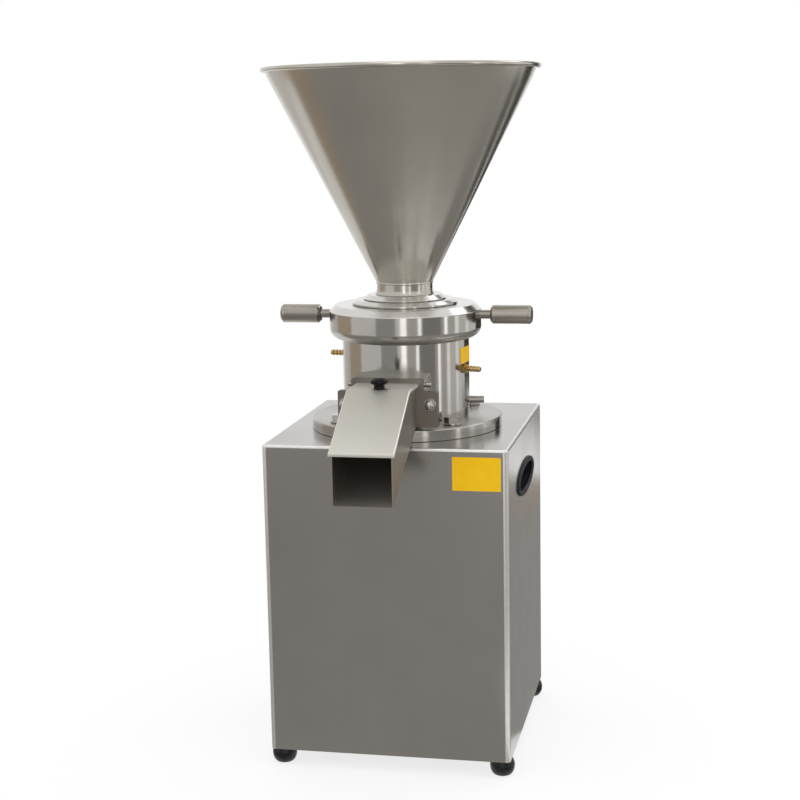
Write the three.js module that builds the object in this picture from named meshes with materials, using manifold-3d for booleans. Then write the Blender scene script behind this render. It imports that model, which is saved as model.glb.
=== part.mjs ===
// Vertical colloid mill for nut butter: hopper, turned grinding head with an adjusting ring,
// square outlet chute, and a stainless steel cabinet that holds the upright motor.
// Units are millimetres, +Z is up, and the outlet faces -Y.
// Sizes here are measured from the head's axis; the last group moves the origin to the middle of the
// footprint, on the floor.

import * as THREE from 'three';
import { mergeVertices } from 'three/addons/utils/BufferGeometryUtils.js';
import Module from 'manifold-3d';

const wasm = await Module();
wasm.setup();

// Facets and clearances
const ROUND = 32;            // facets of the large turned parts
const MEDIUM = 18;           // facets of the hidden motor and rotor parts
const SMALL = 12;            // facets of feet, grips and knobs
const FINE = 8;              // facets of screws and thin pipes
const SEAT_GAP = 0.3;        // between faces that rest on each other
const RUN_GAP = 0.7;         // radial, between round parts that slide or turn
const SHAFT_GAP = 1.0;       // radial, between the shaft and fixed parts
const CUT = 2;               // how far a cutting tool runs past the face that it cuts
const BREAK = 1;             // small chamfer of moulded and turned pieces
const WELD = 1;              // how far joined shapes sink into each other

// Cabinet
const CABINET_WIDTH = 352;
const CABINET_DEPTH = 374;
const CABINET_HEIGHT = 453;
const CABINET_SHEET = 1.5;
const CABINET_CORNER = 7;    // outer bend radius of the upright corners
const CABINET_TOP_EDGE = 4;
const CABINET_LIP = 22;      // inward flange round the open bottom and the rear window
const HEAD_FROM_FRONT = 175; // head axis behind the front panel
const FOOT_HEIGHT = 25;
const FOOT_RADIUS = 18;
const FOOT_FROM_SIDE = 14.5;
const FOOT_FROM_END = 22.5;  // from the front and from the rear
const FOOT_PROFILE = [[0.55, 0], [0.82, 0.13], [0.96, 0.33], [1, 0.55], [0.94, 0.8], [0.8, 1]]; // shares

// Rear panel
const PANEL_OVERLAP = 12;    // on the window's flange
const LOUVRE_ROWS = 6;
const LOUVRE_PITCH = 24;
const LOUVRE_WIDTH = 96;
const LOUVRE_DEPTH = 6;
const LOUVRE_LOW = 90;       // lowest louvre above the cabinet's bottom
const LOUVRE_FROM_MIDDLE = 14;
const LOUVRE_SLOT = 7;
const LOUVRE_SHEET = 1.6;
const GLAND_RADIUS = 12;
const GLAND_FROM_SIDE = 65;
const GLAND_Z = 40;          // above the cabinet's bottom
const GLAND_TAIL = 8;        // inside the panel
const GLAND_NUT = 3;
const GLAND_NOSE = 9;
const GLAND_WALL = 2.5;

// Carrying frame of angle steel
const ANGLE_LEG = 25;
const ANGLE_WALL = 3;
const FRAME_INSET = 3;       // from the sheet's inner face, clear of the rounded corners
const PLATE_THICKNESS = 10;  // motor plate below the cabinet's top
const PLATE_BORE = 46;

// Oval lifting pulls in both side panels
const PULL_LENGTH = 168;
const PULL_HEIGHT = 50;
const PULL_LIP = 3;          // stands out of the panel
const PULL_RIM = 9;          // width of the rim round the mouth
const PULL_DEPTH = 26;
const PULL_WALL = 2;
const PULL_BELOW_TOP = 75;
const PULL_FROM_FRONT = 181; // its middle
const PULL_UNDERCUT = 4;     // the finger lip

// Push buttons in the left panel
const BUTTON_RADIUS = 8.5;
const BUTTON_TRAVEL = 3;
const BEZEL_RADIUS = 14.5;
const BEZEL_HEIGHT = 4;
const BEZEL_BODY = 30;
const BEZEL_WALL = 2.5;
const BUTTON_FROM_FRONT = 75;
const START_BELOW_TOP = 60;
const BUTTON_PITCH = 45;
const START_HEAD_HEIGHT = 2.5;
const STOP_HEAD_RADIUS = 13;
const STOP_HEAD_HEIGHT = 8;

// Head housing
const FLANGE_RADIUS = 141;
const FLANGE_THICKNESS = 16.7;
const BODY_RADIUS = 93.5;
const BODY_HEIGHT = 115;
const BODY_WALL = 9.5;
const CHAMBER_FLOOR = 5;     // chamber floor above the flange's top
const CHAMBER_TAPER = 8;     // below the guide
const FLANGE_CHAMFER = 1.5;
const SEAL_BORE = 38;        // bore of the housing's floor
const GUIDE_RADIUS = 76;     // bore that guides the stator seat
const GUIDE_HEIGHT = 24;
const SPIGOT_RADIUS = 86;    // threaded collar below the ring
const SPIGOT_WALL = 5.6;
const SPIGOT_TO_LIP = 8;
const BOLT_CIRCLE = 118;
const BOLT_RADIUS = 7;
const BOLT_FLATS = 21;
const BOLT_HEAD = 9;
const WASHER_RADIUS = 13;
const WASHER_THICKNESS = 2.5;

// Adjusting ring and its handles
const RING_RADIUS = 112;
const RING_UNDERSIDE = 16;   // height of the rounded underside
const RING_FACE = 24.7;
const RING_TOP_BEVEL = 9;
const RING_TOP_RADIUS = 103;
const RING_LIP = 12;
const RING_LIP_BORE = 70;
const ROD_RADIUS = 6.5;
const ROD_BELOW_TOP = 16;
const ROD_SOCKET = 12;       // depth of the rod's hole in the ring
const GRIP_START = 128;      // from the head's axis
const GRIP_LENGTH = 60.5;
const GRIP_RADIUS = 13.8;
const GRIP_CHAMFER = 3;
const GRIP_BORE = 50;

// Stator seat, its cap and the toothed stator
const SEAT_SHOULDER = 3;     // shoulder above the body's top
const CAP_RADIUS = 77.7;
const CAP_EDGE = 2.6;
const CAP_BEVEL = 4.3;       // height of the bevel above the edge
const CAP_TOP_RADIUS = 72;
const COLLAR_RADIUS = 61;
const COLLAR_EDGE = 1.2;
const COLLAR_BEVEL = 5.8;
const COLLAR_TOP_RADIUS = 54;
const COLLAR_SPIGOT = 12;
const THROAT_RADIUS = 38;
const THROAT_LOW_RADIUS = 31;
const THROAT_DEPTH = 20;     // straight part below the seat's top
const STATOR_RADIUS = 58;
const STATOR_SKIRT = 7.5;
const STATOR_LEDGE = 8;      // flat part of the throat above the stator
const STATOR_HEIGHT = 60;
const SEAL_CORD = 3;
const SEAL_ABOVE_STATOR = 6;

// Toothed rotor and what turns with it
const ROTOR_TOP_RADIUS = 27;
const ROTOR_LOW_RADIUS = 40;
const GRIND_GAP = 0.8;
const TOOTH_COUNT = 20;
const TOOTH_DEPTH = 2.5;
const TOOTH_TWIST = 24;      // degrees from bottom to top
const TOOTH_LEVELS = 2;
const TOOTH_TIP = 0.42;      // shares of a tooth's pitch: the tip, then the groove's floor
const GROOVE_START = 0.56;
const GROOVE_END = 0.86;
const IMPELLER_HUB = 14;
const IMPELLER_REACH = 26;
const IMPELLER_HEIGHT = 24;
const BLADE_THICKNESS = 3;
const BLADE_TILT = 30;       // degrees
const BLADE_SHARE = 0.36;    // half of a blade's width, as a share of the impeller's height
const CAP_NUT_FLATS = 24;
const CAP_NUT_HEIGHT = 16;
const CAP_NUT_DOME = 7;
const PADDLE_REACH = 77;
const PADDLE_HEIGHT = 9;
const PADDLE_HUB = 24;
const SEAL_RING_RADIUS = 24;
const SEAL_RING_HEIGHT = 5;
const SEAL_SEAT_STEP = 5;     // seal seat above the chamber's floor
const PADDLE_THICKNESS = 4;

// Shaft radii from the fan end to the cap nut
const SHAFT_FAN = 10;
const SHAFT_LOW_JOURNAL = 12.5;
const SHAFT_CORE = 17.5;
const SHAFT_TOP_JOURNAL = 16;
const SHAFT_SEAL = 15;
const SHAFT_ROTOR = 13;
const SHAFT_THREAD = 8;
const SHAFT_SHOULDER = 2;    // how far a step stands off the bearing beside it

// Motor
const MOTOR_RADIUS = 93;
const MOTOR_FIN = 7;
const MOTOR_FINS = 16;
const FIN_THICKNESS = 3;
const FIN_END = 7;           // plain barrel at both ends of the fins
const MOTOR_WALL = 12;
const MOTOR_FLANGE_RADIUS = 125;
const MOTOR_FLANGE = 14;
const BELL_HEIGHT = 24;
const MOTOR_LENGTH = 205;
const LOW_BELL_HEIGHT = 22;
const BELL_BEVEL = 6;
const CORE_LENGTH = 130;
const CORE_BORE = 48;
const WINDING_HEIGHT = 22;
const BEARING_HEIGHT = 15;
const TOP_BEARING_RADIUS = 31;
const LOW_BEARING_RADIUS = 26;
const BEARING_RECESS = 4;    // behind the bell's face
const COWL_DEPTH = 84;
const COWL_SHEET = 1.5;
const COWL_SLOTS = 8;
const COWL_SLOT_START = 26;  // from the axis
const COWL_SLOT_END = 77;
const COWL_SLOT_WIDTH = 8;
const COWL_OVERLAP = 2;      // below the top of the low bell
const FAN_REACH = 78;
const FAN_BLADES = 8;
const FAN_HEIGHT = 24;
const FAN_HUB = 16;
const FAN_WEB = 47;          // radius of the disc that carries the blades
const FAN_WALL = 2.4;
const FAN_ABOVE_COWL = 22;
const BOX_WIDTH = 92;
const BOX_HEIGHT = 80;
const BOX_DEPTH = 42;
const BOX_ROOT = 80;         // from the motor's axis, inside the fins
const BOX_ABOVE_MIDDLE = 40;

// Hopper
const HOPPER_SHEET = 2;
const HOPPER_NECK_RADIUS = 41;
const HOPPER_NECK_FOOT = 43.5;
const HOPPER_NECK_HEIGHT = 18;
const HOPPER_CONE_HEIGHT = 308;
const HOPPER_TOP_RADIUS = 196.5;
const HOPPER_BEAD = 3.5;
const HOPPER_NECK_FLARE = 6; // height of the flare at the neck's foot
const HOPPER_NECK_BEND = 2;  // height of the bend into the cone
const HOPPER_BEND_OUT = 0.6;

// Outlet box of the housing, chute and lid
const OUTLET_WIDTH = 104;
const OUTLET_REACH = 130;    // flange face from the head's axis
const OUTLET_TOP = 74;       // above the housing flange's top
const OUTLET_FLANGE = 4;
const OUTLET_BORE_WIDTH = 76;
const OUTLET_BORE_TOP = 65;
const OUTLET_BORE_LOW = 8;
const EAR_WIDTH = 144;
const EAR_LOW = 5;
const EAR_TOP = 56;
const GASKET = 1.4;
const STUD_X = 61;
const STUD_Z = 38;           // above the housing flange's top
const STUD_RADIUS = 4;
const STUD_LENGTH = 14;
const NUT_FLATS = 13;
const NUT_HEIGHT = 6.5;
const NUT_DOME = 5;
const DOME_PROFILE = [[0.94, 0], [0.9, 0.46], [0.54, 0.88], [0, 1]]; // of half the flats, height
const NUT_WASHER_RADIUS = 9;
const NUT_WASHER = 1.6;
const SIDE_SCREW_Z = 63;
const SIDE_SCREW_BACK = 12;  // behind the outlet flange's face
const SIDE_SCREW_RADIUS = 3.6;
const SIDE_SCREW_NECK = 2.4;
const SIDE_SCREW_LENGTH = 8;
const SIDE_SCREW_SOCKET = 3;
const SIDE_SCREW_BLIND = 6;  // wall left between the screw's end and the outlet
const CHUTE_FLANGE = 4;
const CHUTE_SHEET = 1.5;
const CHUTE_WIDTH = 83;
const CHUTE_REACH = 304;     // mouth from the head's axis
const CHUTE_BEND = 196;      // bend of the top from the head's axis
const CHUTE_TOP = 66;        // top of the level part above the housing flange's top
const CHUTE_LOW = 3.7;       // floor above the housing flange's top
const CHUTE_MOUTH_TOP = 2;   // mouth's upper edge above the housing flange's top
const CHUTE_MOUTH_HEIGHT = 74.5;
const LID_WIDTH = 90;
const LID_SHEET = 1.5;
const LID_LIP = 3;
const LID_OVERHANG = 4;
const KNOB_RADIUS = 12.3;
const KNOB_HEIGHT = 15;
const KNOB_PROFILE = [[0.66, 0], [0.6, 0.38], [1, 0.52], [0.97, 0.8], [0.62, 0.97], [0, 1]];
const KNOB_BEHIND_BEND = 9;

// Pipes on the body
const BARB_REACH = 120;      // tip from the head's axis
const BARB_SPIGOT = 4.8;
const BARB_FLATS = 14;
const BARB_HEX = 6;
const BARB_NECK = 3.4;
const BARB_RIDGE = 4.6;
const BARB_BORE = 2;
const BARB_RIDGES = 3;
const BARB_STEM = 4;         // plain stem between the hexagon and the first ridge
const INLET_ANGLE = -14;     // degrees from +X
const INLET_Z = 72;          // above the housing flange's top
const RETURN_ANGLE = 171.5;
const RETURN_Z = 88;
const PIPE_SOCKET = 6;
const DRAIN_ANGLE = 8;
const DRAIN_Z = 20;
const DRAIN_RADIUS = 5;
const DRAIN_WALL = 1.5;
const DRAIN_REACH = 115;

// Heights that follow from the sizes above, measured from the floor
const cabinetBottom = FOOT_HEIGHT + SEAT_GAP;
const deck = FOOT_HEIGHT + CABINET_HEIGHT;
const flangeBottom = deck + SEAT_GAP;
const flangeTop = flangeBottom + FLANGE_THICKNESS;
const bodyTop = flangeTop + BODY_HEIGHT;
const ringBottom = bodyTop + SEAT_GAP;
const ringTop = ringBottom + RING_UNDERSIDE + RING_FACE + RING_TOP_BEVEL;
const ringLipBottom = ringTop - RING_LIP;
const capBottom = ringTop + SEAT_GAP;
const capTop = capBottom + CAP_EDGE + CAP_BEVEL;
const collarBottom = capTop + SEAT_GAP;
const collarTop = collarBottom + COLLAR_EDGE + COLLAR_BEVEL;
const neckBottom = collarTop + SEAT_GAP;
const coneBottom = neckBottom + HOPPER_NECK_HEIGHT;
const coneTop = coneBottom + HOPPER_CONE_HEIGHT;
const guideBottom = bodyTop - GUIDE_HEIGHT;
const statorTop = guideBottom + CUT;
const statorBottom = statorTop - STATOR_HEIGHT;
const rotorTop = statorTop - CUT;
const rotorBottom = rotorTop - STATOR_HEIGHT;
const grooveLow = statorTop + SEAL_ABOVE_STATOR;
const chamberFloor = flangeTop + CHAMBER_FLOOR;
const plateTop = deck - CABINET_SHEET - SEAT_GAP;
const plateBottom = plateTop - PLATE_THICKNESS;
const motorTop = plateBottom - SEAT_GAP;
const bellBottom = motorTop - MOTOR_FLANGE - BELL_HEIGHT;
const motorBottom = bellBottom - SEAT_GAP - MOTOR_LENGTH;
const lowBellTop = motorBottom - SEAT_GAP;
const lowBellBottom = lowBellTop - LOW_BELL_HEIGHT;
const cowlBottom = lowBellTop - COWL_DEPTH;

// Plan sizes that follow
const cabinetFront = -HEAD_FROM_FRONT;
const cabinetRear = CABINET_DEPTH - HEAD_FROM_FRONT;
const cabinetMiddle = (cabinetFront + cabinetRear) / 2;
const cabinetSide = CABINET_WIDTH / 2;
const pullY = cabinetFront + PULL_FROM_FRONT;
const glandX = GLAND_FROM_SIDE - cabinetSide;
const glandY = cabinetRear + CABINET_SHEET + 2 * SEAT_GAP;
const chamberRadius = BODY_RADIUS - BODY_WALL;
const spigotBore = SPIGOT_RADIUS - SPIGOT_WALL;
const frameSide = cabinetSide - CABINET_SHEET - FRAME_INSET;
const frameFront = cabinetFront + CABINET_SHEET + FRAME_INSET;
const frameRear = cabinetRear - CABINET_SHEET - FRAME_INSET;
const boltPlaces = [45, 135, 225, 315].map((angle) => polar(BOLT_CIRCLE, angle));
const chuteBack = -(OUTLET_REACH + GASKET + 2 * SEAT_GAP);
const chuteFlangeFace = chuteBack - CHUTE_FLANGE;
const rimRadius = HOPPER_TOP_RADIUS + 2 * HOPPER_BEAD - HOPPER_SHEET / 2;
const footprintFront = CHUTE_REACH + LID_OVERHANG;
const footprintRear = Math.max(rimRadius, glandY + GLAND_NOSE);
const headY = (footprintFront - footprintRear) / 2;

// Materials, by what the piece is made of
const look = (color, roughness, metalness) =>
  new THREE.MeshStandardMaterial({ color, roughness, metalness, flatShading: true });
const brushedSteel = look(0x8a8781, 0.38, 0.9);
const turnedSteel = look(0xb5b1ab, 0.22, 1);
const chuteSteel = look(0xbdbcb4, 0.32, 0.9);
const brass = look(0xb08d3c, 0.3, 1);
const blackRubber = look(0x15120f, 0.7, 0);
const blackPlastic = look(0x101014, 0.4, 0);
const greenPlastic = look(0x1f8a3c, 0.4, 0);
const redPlastic = look(0xb4201c, 0.4, 0);
const paintedSteel = look(0x50565a, 0.6, 0.3);
const motorPaint = look(0x3e5a6e, 0.55, 0.2);
const castIron = look(0x4a4a4a, 0.7, 0.6);
const copper = look(0x9a5a34, 0.5, 0.8);
const sealRubber = look(0x2a2a2a, 0.8, 0);

// Geometry helpers

function polar(radius, degrees) {
  const angle = THREE.MathUtils.degToRad(degrees);
  return [radius * Math.cos(angle), radius * Math.sin(angle)];
}

// Merges shared corners, drops empty triangles and turns the faces outward.
function weld(geometry) {
  const bare = geometry.clone();
  bare.deleteAttribute('normal');
  bare.deleteAttribute('uv');
  const merged = mergeVertices(bare, 1e-4);
  const place = merged.getAttribute('position');
  const corners = Array.from(merged.index.array);
  const kept = [];
  let volume = 0;
  for (let i = 0; i < corners.length; i += 3) {
    const [a, b, c] = corners.slice(i, i + 3);
    if (a === b || b === c || c === a) continue;
    kept.push(a, b, c);
    const [p, q, r] = [a, b, c].map((k) => new THREE.Vector3().fromBufferAttribute(place, k));
    volume += p.dot(q.cross(r));
  }
  if (volume < 0) kept.reverse();
  merged.setIndex(kept);
  return merged;
}

function toSolid(shape) {
  if (!(shape instanceof THREE.BufferGeometry)) return shape;
  const welded = weld(shape);
  return new wasm.Manifold(new wasm.Mesh({
    numProp: 3,
    vertProperties: new Float32Array(welded.getAttribute('position').array),
    triVerts: new Uint32Array(welded.index.array),
  }));
}

function toGeometry(shape) {
  if (shape instanceof THREE.BufferGeometry) return weld(shape);
  const mesh = shape.getMesh();
  const geometry = new THREE.BufferGeometry();
  geometry.setAttribute('position', new THREE.BufferAttribute(new Float32Array(mesh.vertProperties), 3));
  geometry.setIndex(Array.from(mesh.triVerts));
  return geometry;
}

const join = (...shapes) => shapes.map(toSolid).reduce((a, b) => a.add(b));
const cut = (base, ...tools) => tools.map(toSolid).reduce((a, b) => a.subtract(b), toSolid(base));

function part(name, shape, material) {
  const geometry = toGeometry(shape);
  geometry.computeVertexNormals();
  const mesh = new THREE.Mesh(geometry, material);
  mesh.name = name;
  return mesh;
}

function group(...members) {
  const result = new THREE.Group();
  result.add(...members.flat());
  return result;
}

// Turns a profile of [radius, height] points about Z; a ring's profile closes on itself.
function turn(profile, facets = ROUND) {
  const points = profile.map(([radius, height]) => new THREE.Vector2(radius, height));
  return new THREE.LatheGeometry(points, facets).rotateX(Math.PI / 2);
}

// A profile of [share of radius, share of height] points, drawn from the axis at low to the axis at high.
function scaledProfile(shares, radius, low, height) {
  const points = shares.map(([across, up]) => [across * radius, low + up * height]);
  return [[0, points[0][1]], ...points, [0, points.at(-1)[1]]];
}

const turnRing = (profile, facets = ROUND) => turn([...profile, profile[0]], facets);

const disc = (radius, low, high, facets = ROUND) =>
  turn([[0, low], [radius, low], [radius, high], [0, high]], facets);

const tube = (outer, inner, low, high, facets = ROUND) =>
  turnRing([[inner, low], [outer, low], [outer, high], [inner, high]], facets);

function hexPrism(flats, low, high) {
  const radius = flats / Math.sqrt(3);
  return disc(radius, low, high, 6);
}

// Lays a shape turned about Z along another direction: its top then points that way.
const alongX = (geometry) => geometry.rotateY(Math.PI / 2);
const alongMinusX = (geometry) => geometry.rotateY(-Math.PI / 2);
const alongMinusY = (geometry) => geometry.rotateX(Math.PI / 2);
const alongY = (geometry) => geometry.rotateX(-Math.PI / 2);
const spin = (geometry, degrees) => geometry.rotateZ(THREE.MathUtils.degToRad(degrees));

function block([x0, x1], [y0, y1], [z0, z1]) {
  return new THREE.BoxGeometry(x1 - x0, y1 - y0, z1 - z0)
    .translate((x0 + x1) / 2, (y0 + y1) / 2, (z0 + z1) / 2);
}

// Extrudes an outline of [y, z] points across X, from -width/2 to +width/2.
function sideProfile(outline, width) {
  const shape = new THREE.Shape(outline.map(([y, z]) => new THREE.Vector2(y, z)));
  const geometry = new THREE.ExtrudeGeometry(shape, { depth: width, bevelEnabled: false });
  return geometry.applyMatrix4(new THREE.Matrix4().makeBasis(
    new THREE.Vector3(0, 1, 0), new THREE.Vector3(0, 0, 1), new THREE.Vector3(1, 0, 0),
  )).translate(-width / 2, 0, 0);
}

function roundedRectangle(width, depth, radius) {
  const [x, y] = [width / 2, depth / 2];
  const shape = new THREE.Shape();
  shape.moveTo(-x + radius, -y);
  shape.lineTo(x - radius, -y);
  shape.absarc(x - radius, -y + radius, radius, -Math.PI / 2, 0);
  shape.lineTo(x, y - radius);
  shape.absarc(x - radius, y - radius, radius, 0, Math.PI / 2);
  shape.lineTo(-x + radius, y);
  shape.absarc(-x + radius, y - radius, radius, Math.PI / 2, Math.PI);
  shape.lineTo(-x, -y + radius);
  shape.absarc(-x + radius, -y + radius, radius, Math.PI, 1.5 * Math.PI);
  return shape;
}

// An upright rounded box; edge rounds its top rim, and the same round at the bottom is cut away.
function roundedBox(width, depth, radius, low, high, edge = 0) {
  const shape = roundedRectangle(width - 2 * edge, depth - 2 * edge, radius - edge);
  const settings = {
    depth: high - low, curveSegments: 2, steps: 1,
    bevelEnabled: edge > 0, bevelThickness: edge, bevelSize: edge, bevelSegments: 2,
  };
  const geometry = new THREE.ExtrudeGeometry(shape, settings).translate(0, 0, low - edge);
  if (edge === 0) return geometry;
  const below = block([-width, width], [-depth, depth], [low - 3 * edge, low]);
  return cut(geometry, below);
}

function ellipsePlate(length, height, thickness) {
  const shape = new THREE.Shape();
  shape.absellipse(0, 0, length / 2, height / 2, 0, 2 * Math.PI);
  return new THREE.ExtrudeGeometry(shape, { depth: thickness, bevelEnabled: false, curveSegments: 9 });
}

// A toothed cone: rings of trapezoid teeth, each ring turned a little from the one below it.
function toothedCone(lowRadius, topRadius, low, high, toothDepth) {
  const corners = [];
  const rings = TOOTH_LEVELS + 1;
  const steps = [[0, 0], [TOOTH_TIP, 0], [GROOVE_START, toothDepth], [GROOVE_END, toothDepth]];
  const perRing = TOOTH_COUNT * steps.length;
  for (let level = 0; level < rings; level += 1) {
    const share = level / TOOTH_LEVELS;
    const radius = THREE.MathUtils.lerp(lowRadius, topRadius, share);
    for (let tooth = 0; tooth < TOOTH_COUNT; tooth += 1) {
      for (const [step, inset] of steps) {
        const angle = ((tooth + step) * 360) / TOOTH_COUNT + share * TOOTH_TWIST;
        corners.push(...polar(radius - inset, angle), THREE.MathUtils.lerp(low, high, share));
      }
    }
  }
  const faces = [];
  for (let level = 0; level < TOOTH_LEVELS; level += 1) {
    for (let i = 0; i < perRing; i += 1) {
      const [a, b] = [level * perRing + i, level * perRing + ((i + 1) % perRing)];
      faces.push(a, b, b + perRing, a, b + perRing, a + perRing);
    }
  }
  const [lowCentre, topCentre] = [corners.length / 3, corners.length / 3 + 1];
  corners.push(0, 0, low, 0, 0, high);
  for (let i = 0; i < perRing; i += 1) {
    const next = (i + 1) % perRing;
    faces.push(lowCentre, next, i);
    faces.push(topCentre, TOOTH_LEVELS * perRing + i, TOOTH_LEVELS * perRing + next);
  }
  const geometry = new THREE.BufferGeometry();
  geometry.setAttribute('position', new THREE.Float32BufferAttribute(corners, 3));
  geometry.setIndex(faces);
  return geometry;
}

// Cabinet pieces

function cabinetShell() {
  const inner = CABINET_SHEET;
  const outside = roundedBox(CABINET_WIDTH, CABINET_DEPTH, CABINET_CORNER, cabinetBottom, deck,
    CABINET_TOP_EDGE);
  const inside = roundedBox(CABINET_WIDTH - 2 * inner, CABINET_DEPTH - 2 * inner, CABINET_CORNER - inner,
    cabinetBottom + inner, deck - inner, CABINET_TOP_EDGE - inner);
  const openX = cabinetSide - CABINET_LIP;
  const openY = CABINET_DEPTH / 2 - CABINET_LIP;
  const bottomOpening = block([-openX, openX], [-openY, openY],
    [cabinetBottom - CUT, cabinetBottom + 2 * CUT]);
  const rearWindow = block([-openX, openX], [openY, CABINET_DEPTH / 2 + CUT],
    [cabinetBottom + CABINET_LIP, deck - CABINET_LIP]);
  const shell = cut(outside, inside, bottomOpening, rearWindow).translate([0, cabinetMiddle, 0]);
  const bore = disc(PLATE_BORE, deck - 3 * CUT, deck + CUT, MEDIUM);
  const boltHoles = boltPlaces.map(([x, y]) =>
    disc(BOLT_RADIUS + RUN_GAP, deck - 3 * CUT, deck + CUT, FINE).translate(x, y, 0));
  const pullHoles = [-1, 1].map((side) => pullCutter(side));
  const buttonHoles = [0, 1].map((row) => {
    const hole = disc(BUTTON_RADIUS + BEZEL_WALL + RUN_GAP, -CUT, 3 * CUT, SMALL);
    return placeOnLeftPanel(hole, row, 0);
  });
  return part('cabinet_shell', cut(shell, bore, ...boltHoles, ...pullHoles, ...buttonHoles), brushedSteel);
}

function rearPanel() {
  const halfWidth = cabinetSide - CABINET_LIP + PANEL_OVERLAP;
  const face = cabinetRear + SEAT_GAP;
  const back = face + CABINET_SHEET;
  const low = cabinetBottom + CABINET_LIP - PANEL_OVERLAP;
  let panel = block([-halfWidth, halfWidth], [face, back], [low, deck - CABINET_LIP + PANEL_OVERLAP]);
  const lip = LOUVRE_SLOT / 2;
  const hood = [
    [0, lip + 2 * LOUVRE_SHEET], [LOUVRE_DEPTH, 0], [LOUVRE_DEPTH, -lip],
    [LOUVRE_DEPTH - LOUVRE_SHEET, -lip], [0, lip + LOUVRE_SHEET / 2],
  ];
  const overlapY = CABINET_SHEET / 2;
  for (let row = 0; row < LOUVRE_ROWS; row += 1) {
    for (const side of [-1, 1]) {
      const x = side * (LOUVRE_WIDTH / 2 + LOUVRE_FROM_MIDDLE);
      const z = cabinetBottom + LOUVRE_LOW + row * LOUVRE_PITCH;
      const outline = hood.map(([y, height]) => [back - overlapY + y, z + height]);
      const slot = block([x - LOUVRE_WIDTH / 2, x + LOUVRE_WIDTH / 2], [face - CUT, back + CUT],
        [z - lip, z + lip]);
      panel = join(cut(panel, slot), sideProfile(outline, LOUVRE_WIDTH).translate(x, 0, 0));
    }
  }
  const glandHole = alongY(disc(GLAND_RADIUS - GLAND_WALL + RUN_GAP, -CUT, 2 * CUT, FINE))
    .translate(glandX, face, cabinetBottom + GLAND_Z);
  return part('rear_panel', cut(panel, glandHole), brushedSteel);
}

function cableGland() {
  const nose = GLAND_RADIUS - GLAND_WALL;
  const bore = nose - GLAND_WALL;
  const profile = [
    [bore, -GLAND_TAIL], [nose, -GLAND_TAIL], [nose, 0], [GLAND_RADIUS, 0], [GLAND_RADIUS, GLAND_NUT],
    [nose, GLAND_NUT], [nose, GLAND_NOSE - BREAK], [bore, GLAND_NOSE],
  ];
  return part('cable_gland',
    alongY(turnRing(profile, FINE)).translate(glandX, glandY, cabinetBottom + GLAND_Z), blackPlastic);
}

function carryingFrame() {
  const [x, front, rear] = [frameSide, frameFront, frameRear];
  const low = cabinetBottom + CABINET_SHEET + SEAT_GAP;
  const top = plateBottom - SEAT_GAP;
  const legs = [];
  for (const side of [-1, 1]) {
    const across = (near, far) => [side * near, side * far].sort((a, b) => a - b);
    for (const [y, into] of [[front, 1], [rear, -1]]) {
      const along = (near, far) => [y + into * near, y + into * far].sort((a, b) => a - b);
      legs.push(block(across(x - ANGLE_LEG, x), along(0, ANGLE_WALL), [low, top]));
      legs.push(block(across(x - ANGLE_WALL, x), along(0, ANGLE_LEG), [low, top]));
    }
    legs.push(block(across(x - ANGLE_LEG, x), [front, rear], [low, low + ANGLE_WALL]));
    legs.push(block(across(x - ANGLE_WALL, x), [front, rear], [low, low + ANGLE_LEG]));
  }
  for (const [y, into] of [[front, 1], [rear, -1]]) {
    const along = (near, far) => [y + into * near, y + into * far].sort((a, b) => a - b);
    legs.push(block([-x, x], along(0, ANGLE_LEG), [low, low + ANGLE_WALL]));
    legs.push(block([-x, x], along(0, ANGLE_WALL), [low, low + ANGLE_LEG]));
  }
  return part('carrying_frame', join(...legs), paintedSteel);
}

function motorPlate() {
  const plate = block([-frameSide, frameSide], [frameFront, frameRear], [plateBottom, plateTop]);
  const bore = disc(PLATE_BORE, plateBottom - CUT, plateTop + CUT, MEDIUM);
  const holes = boltPlaces.map(([bx, by]) =>
    disc(BOLT_RADIUS + RUN_GAP, plateBottom - CUT, plateTop + CUT, FINE).translate(bx, by, 0));
  return part('motor_plate', cut(plate, bore, ...holes), paintedSteel);
}

function feet() {
  const profile = scaledProfile(FOOT_PROFILE, FOOT_RADIUS, 0, FOOT_HEIGHT);
  const places = {
    foot_front_left: [-1, cabinetFront + FOOT_FROM_END], foot_front_right: [1, cabinetFront + FOOT_FROM_END],
    foot_rear_left: [-1, cabinetRear - FOOT_FROM_END], foot_rear_right: [1, cabinetRear - FOOT_FROM_END],
  };
  return Object.entries(places).map(([name, [side, y]]) => {
    const foot = part(name, turn(profile, SMALL), blackRubber);
    foot.position.set(side * (cabinetSide - FOOT_FROM_SIDE), y, 0);
    return foot;
  });
}

// Stands a shape drawn in the X-Y plane on a side panel, with its +Z pointing out of the cabinet.
function placeOnSide(geometry, side) {
  const basis = new THREE.Matrix4().makeBasis(
    new THREE.Vector3(0, side, 0), new THREE.Vector3(0, 0, 1), new THREE.Vector3(side, 0, 0),
  );
  return geometry.applyMatrix4(basis).translate(side * cabinetSide, pullY, deck - PULL_BELOW_TOP);
}

function pullCutter(side) {
  const length = PULL_LENGTH - 2 * PULL_RIM + 2 * PULL_UNDERCUT + 2 * RUN_GAP;
  const height = PULL_HEIGHT - 2 * PULL_RIM + 2 * PULL_UNDERCUT + 2 * RUN_GAP;
  return placeOnSide(ellipsePlate(length, height, 4 * CUT).translate(0, 0, -2 * CUT), side);
}

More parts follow.
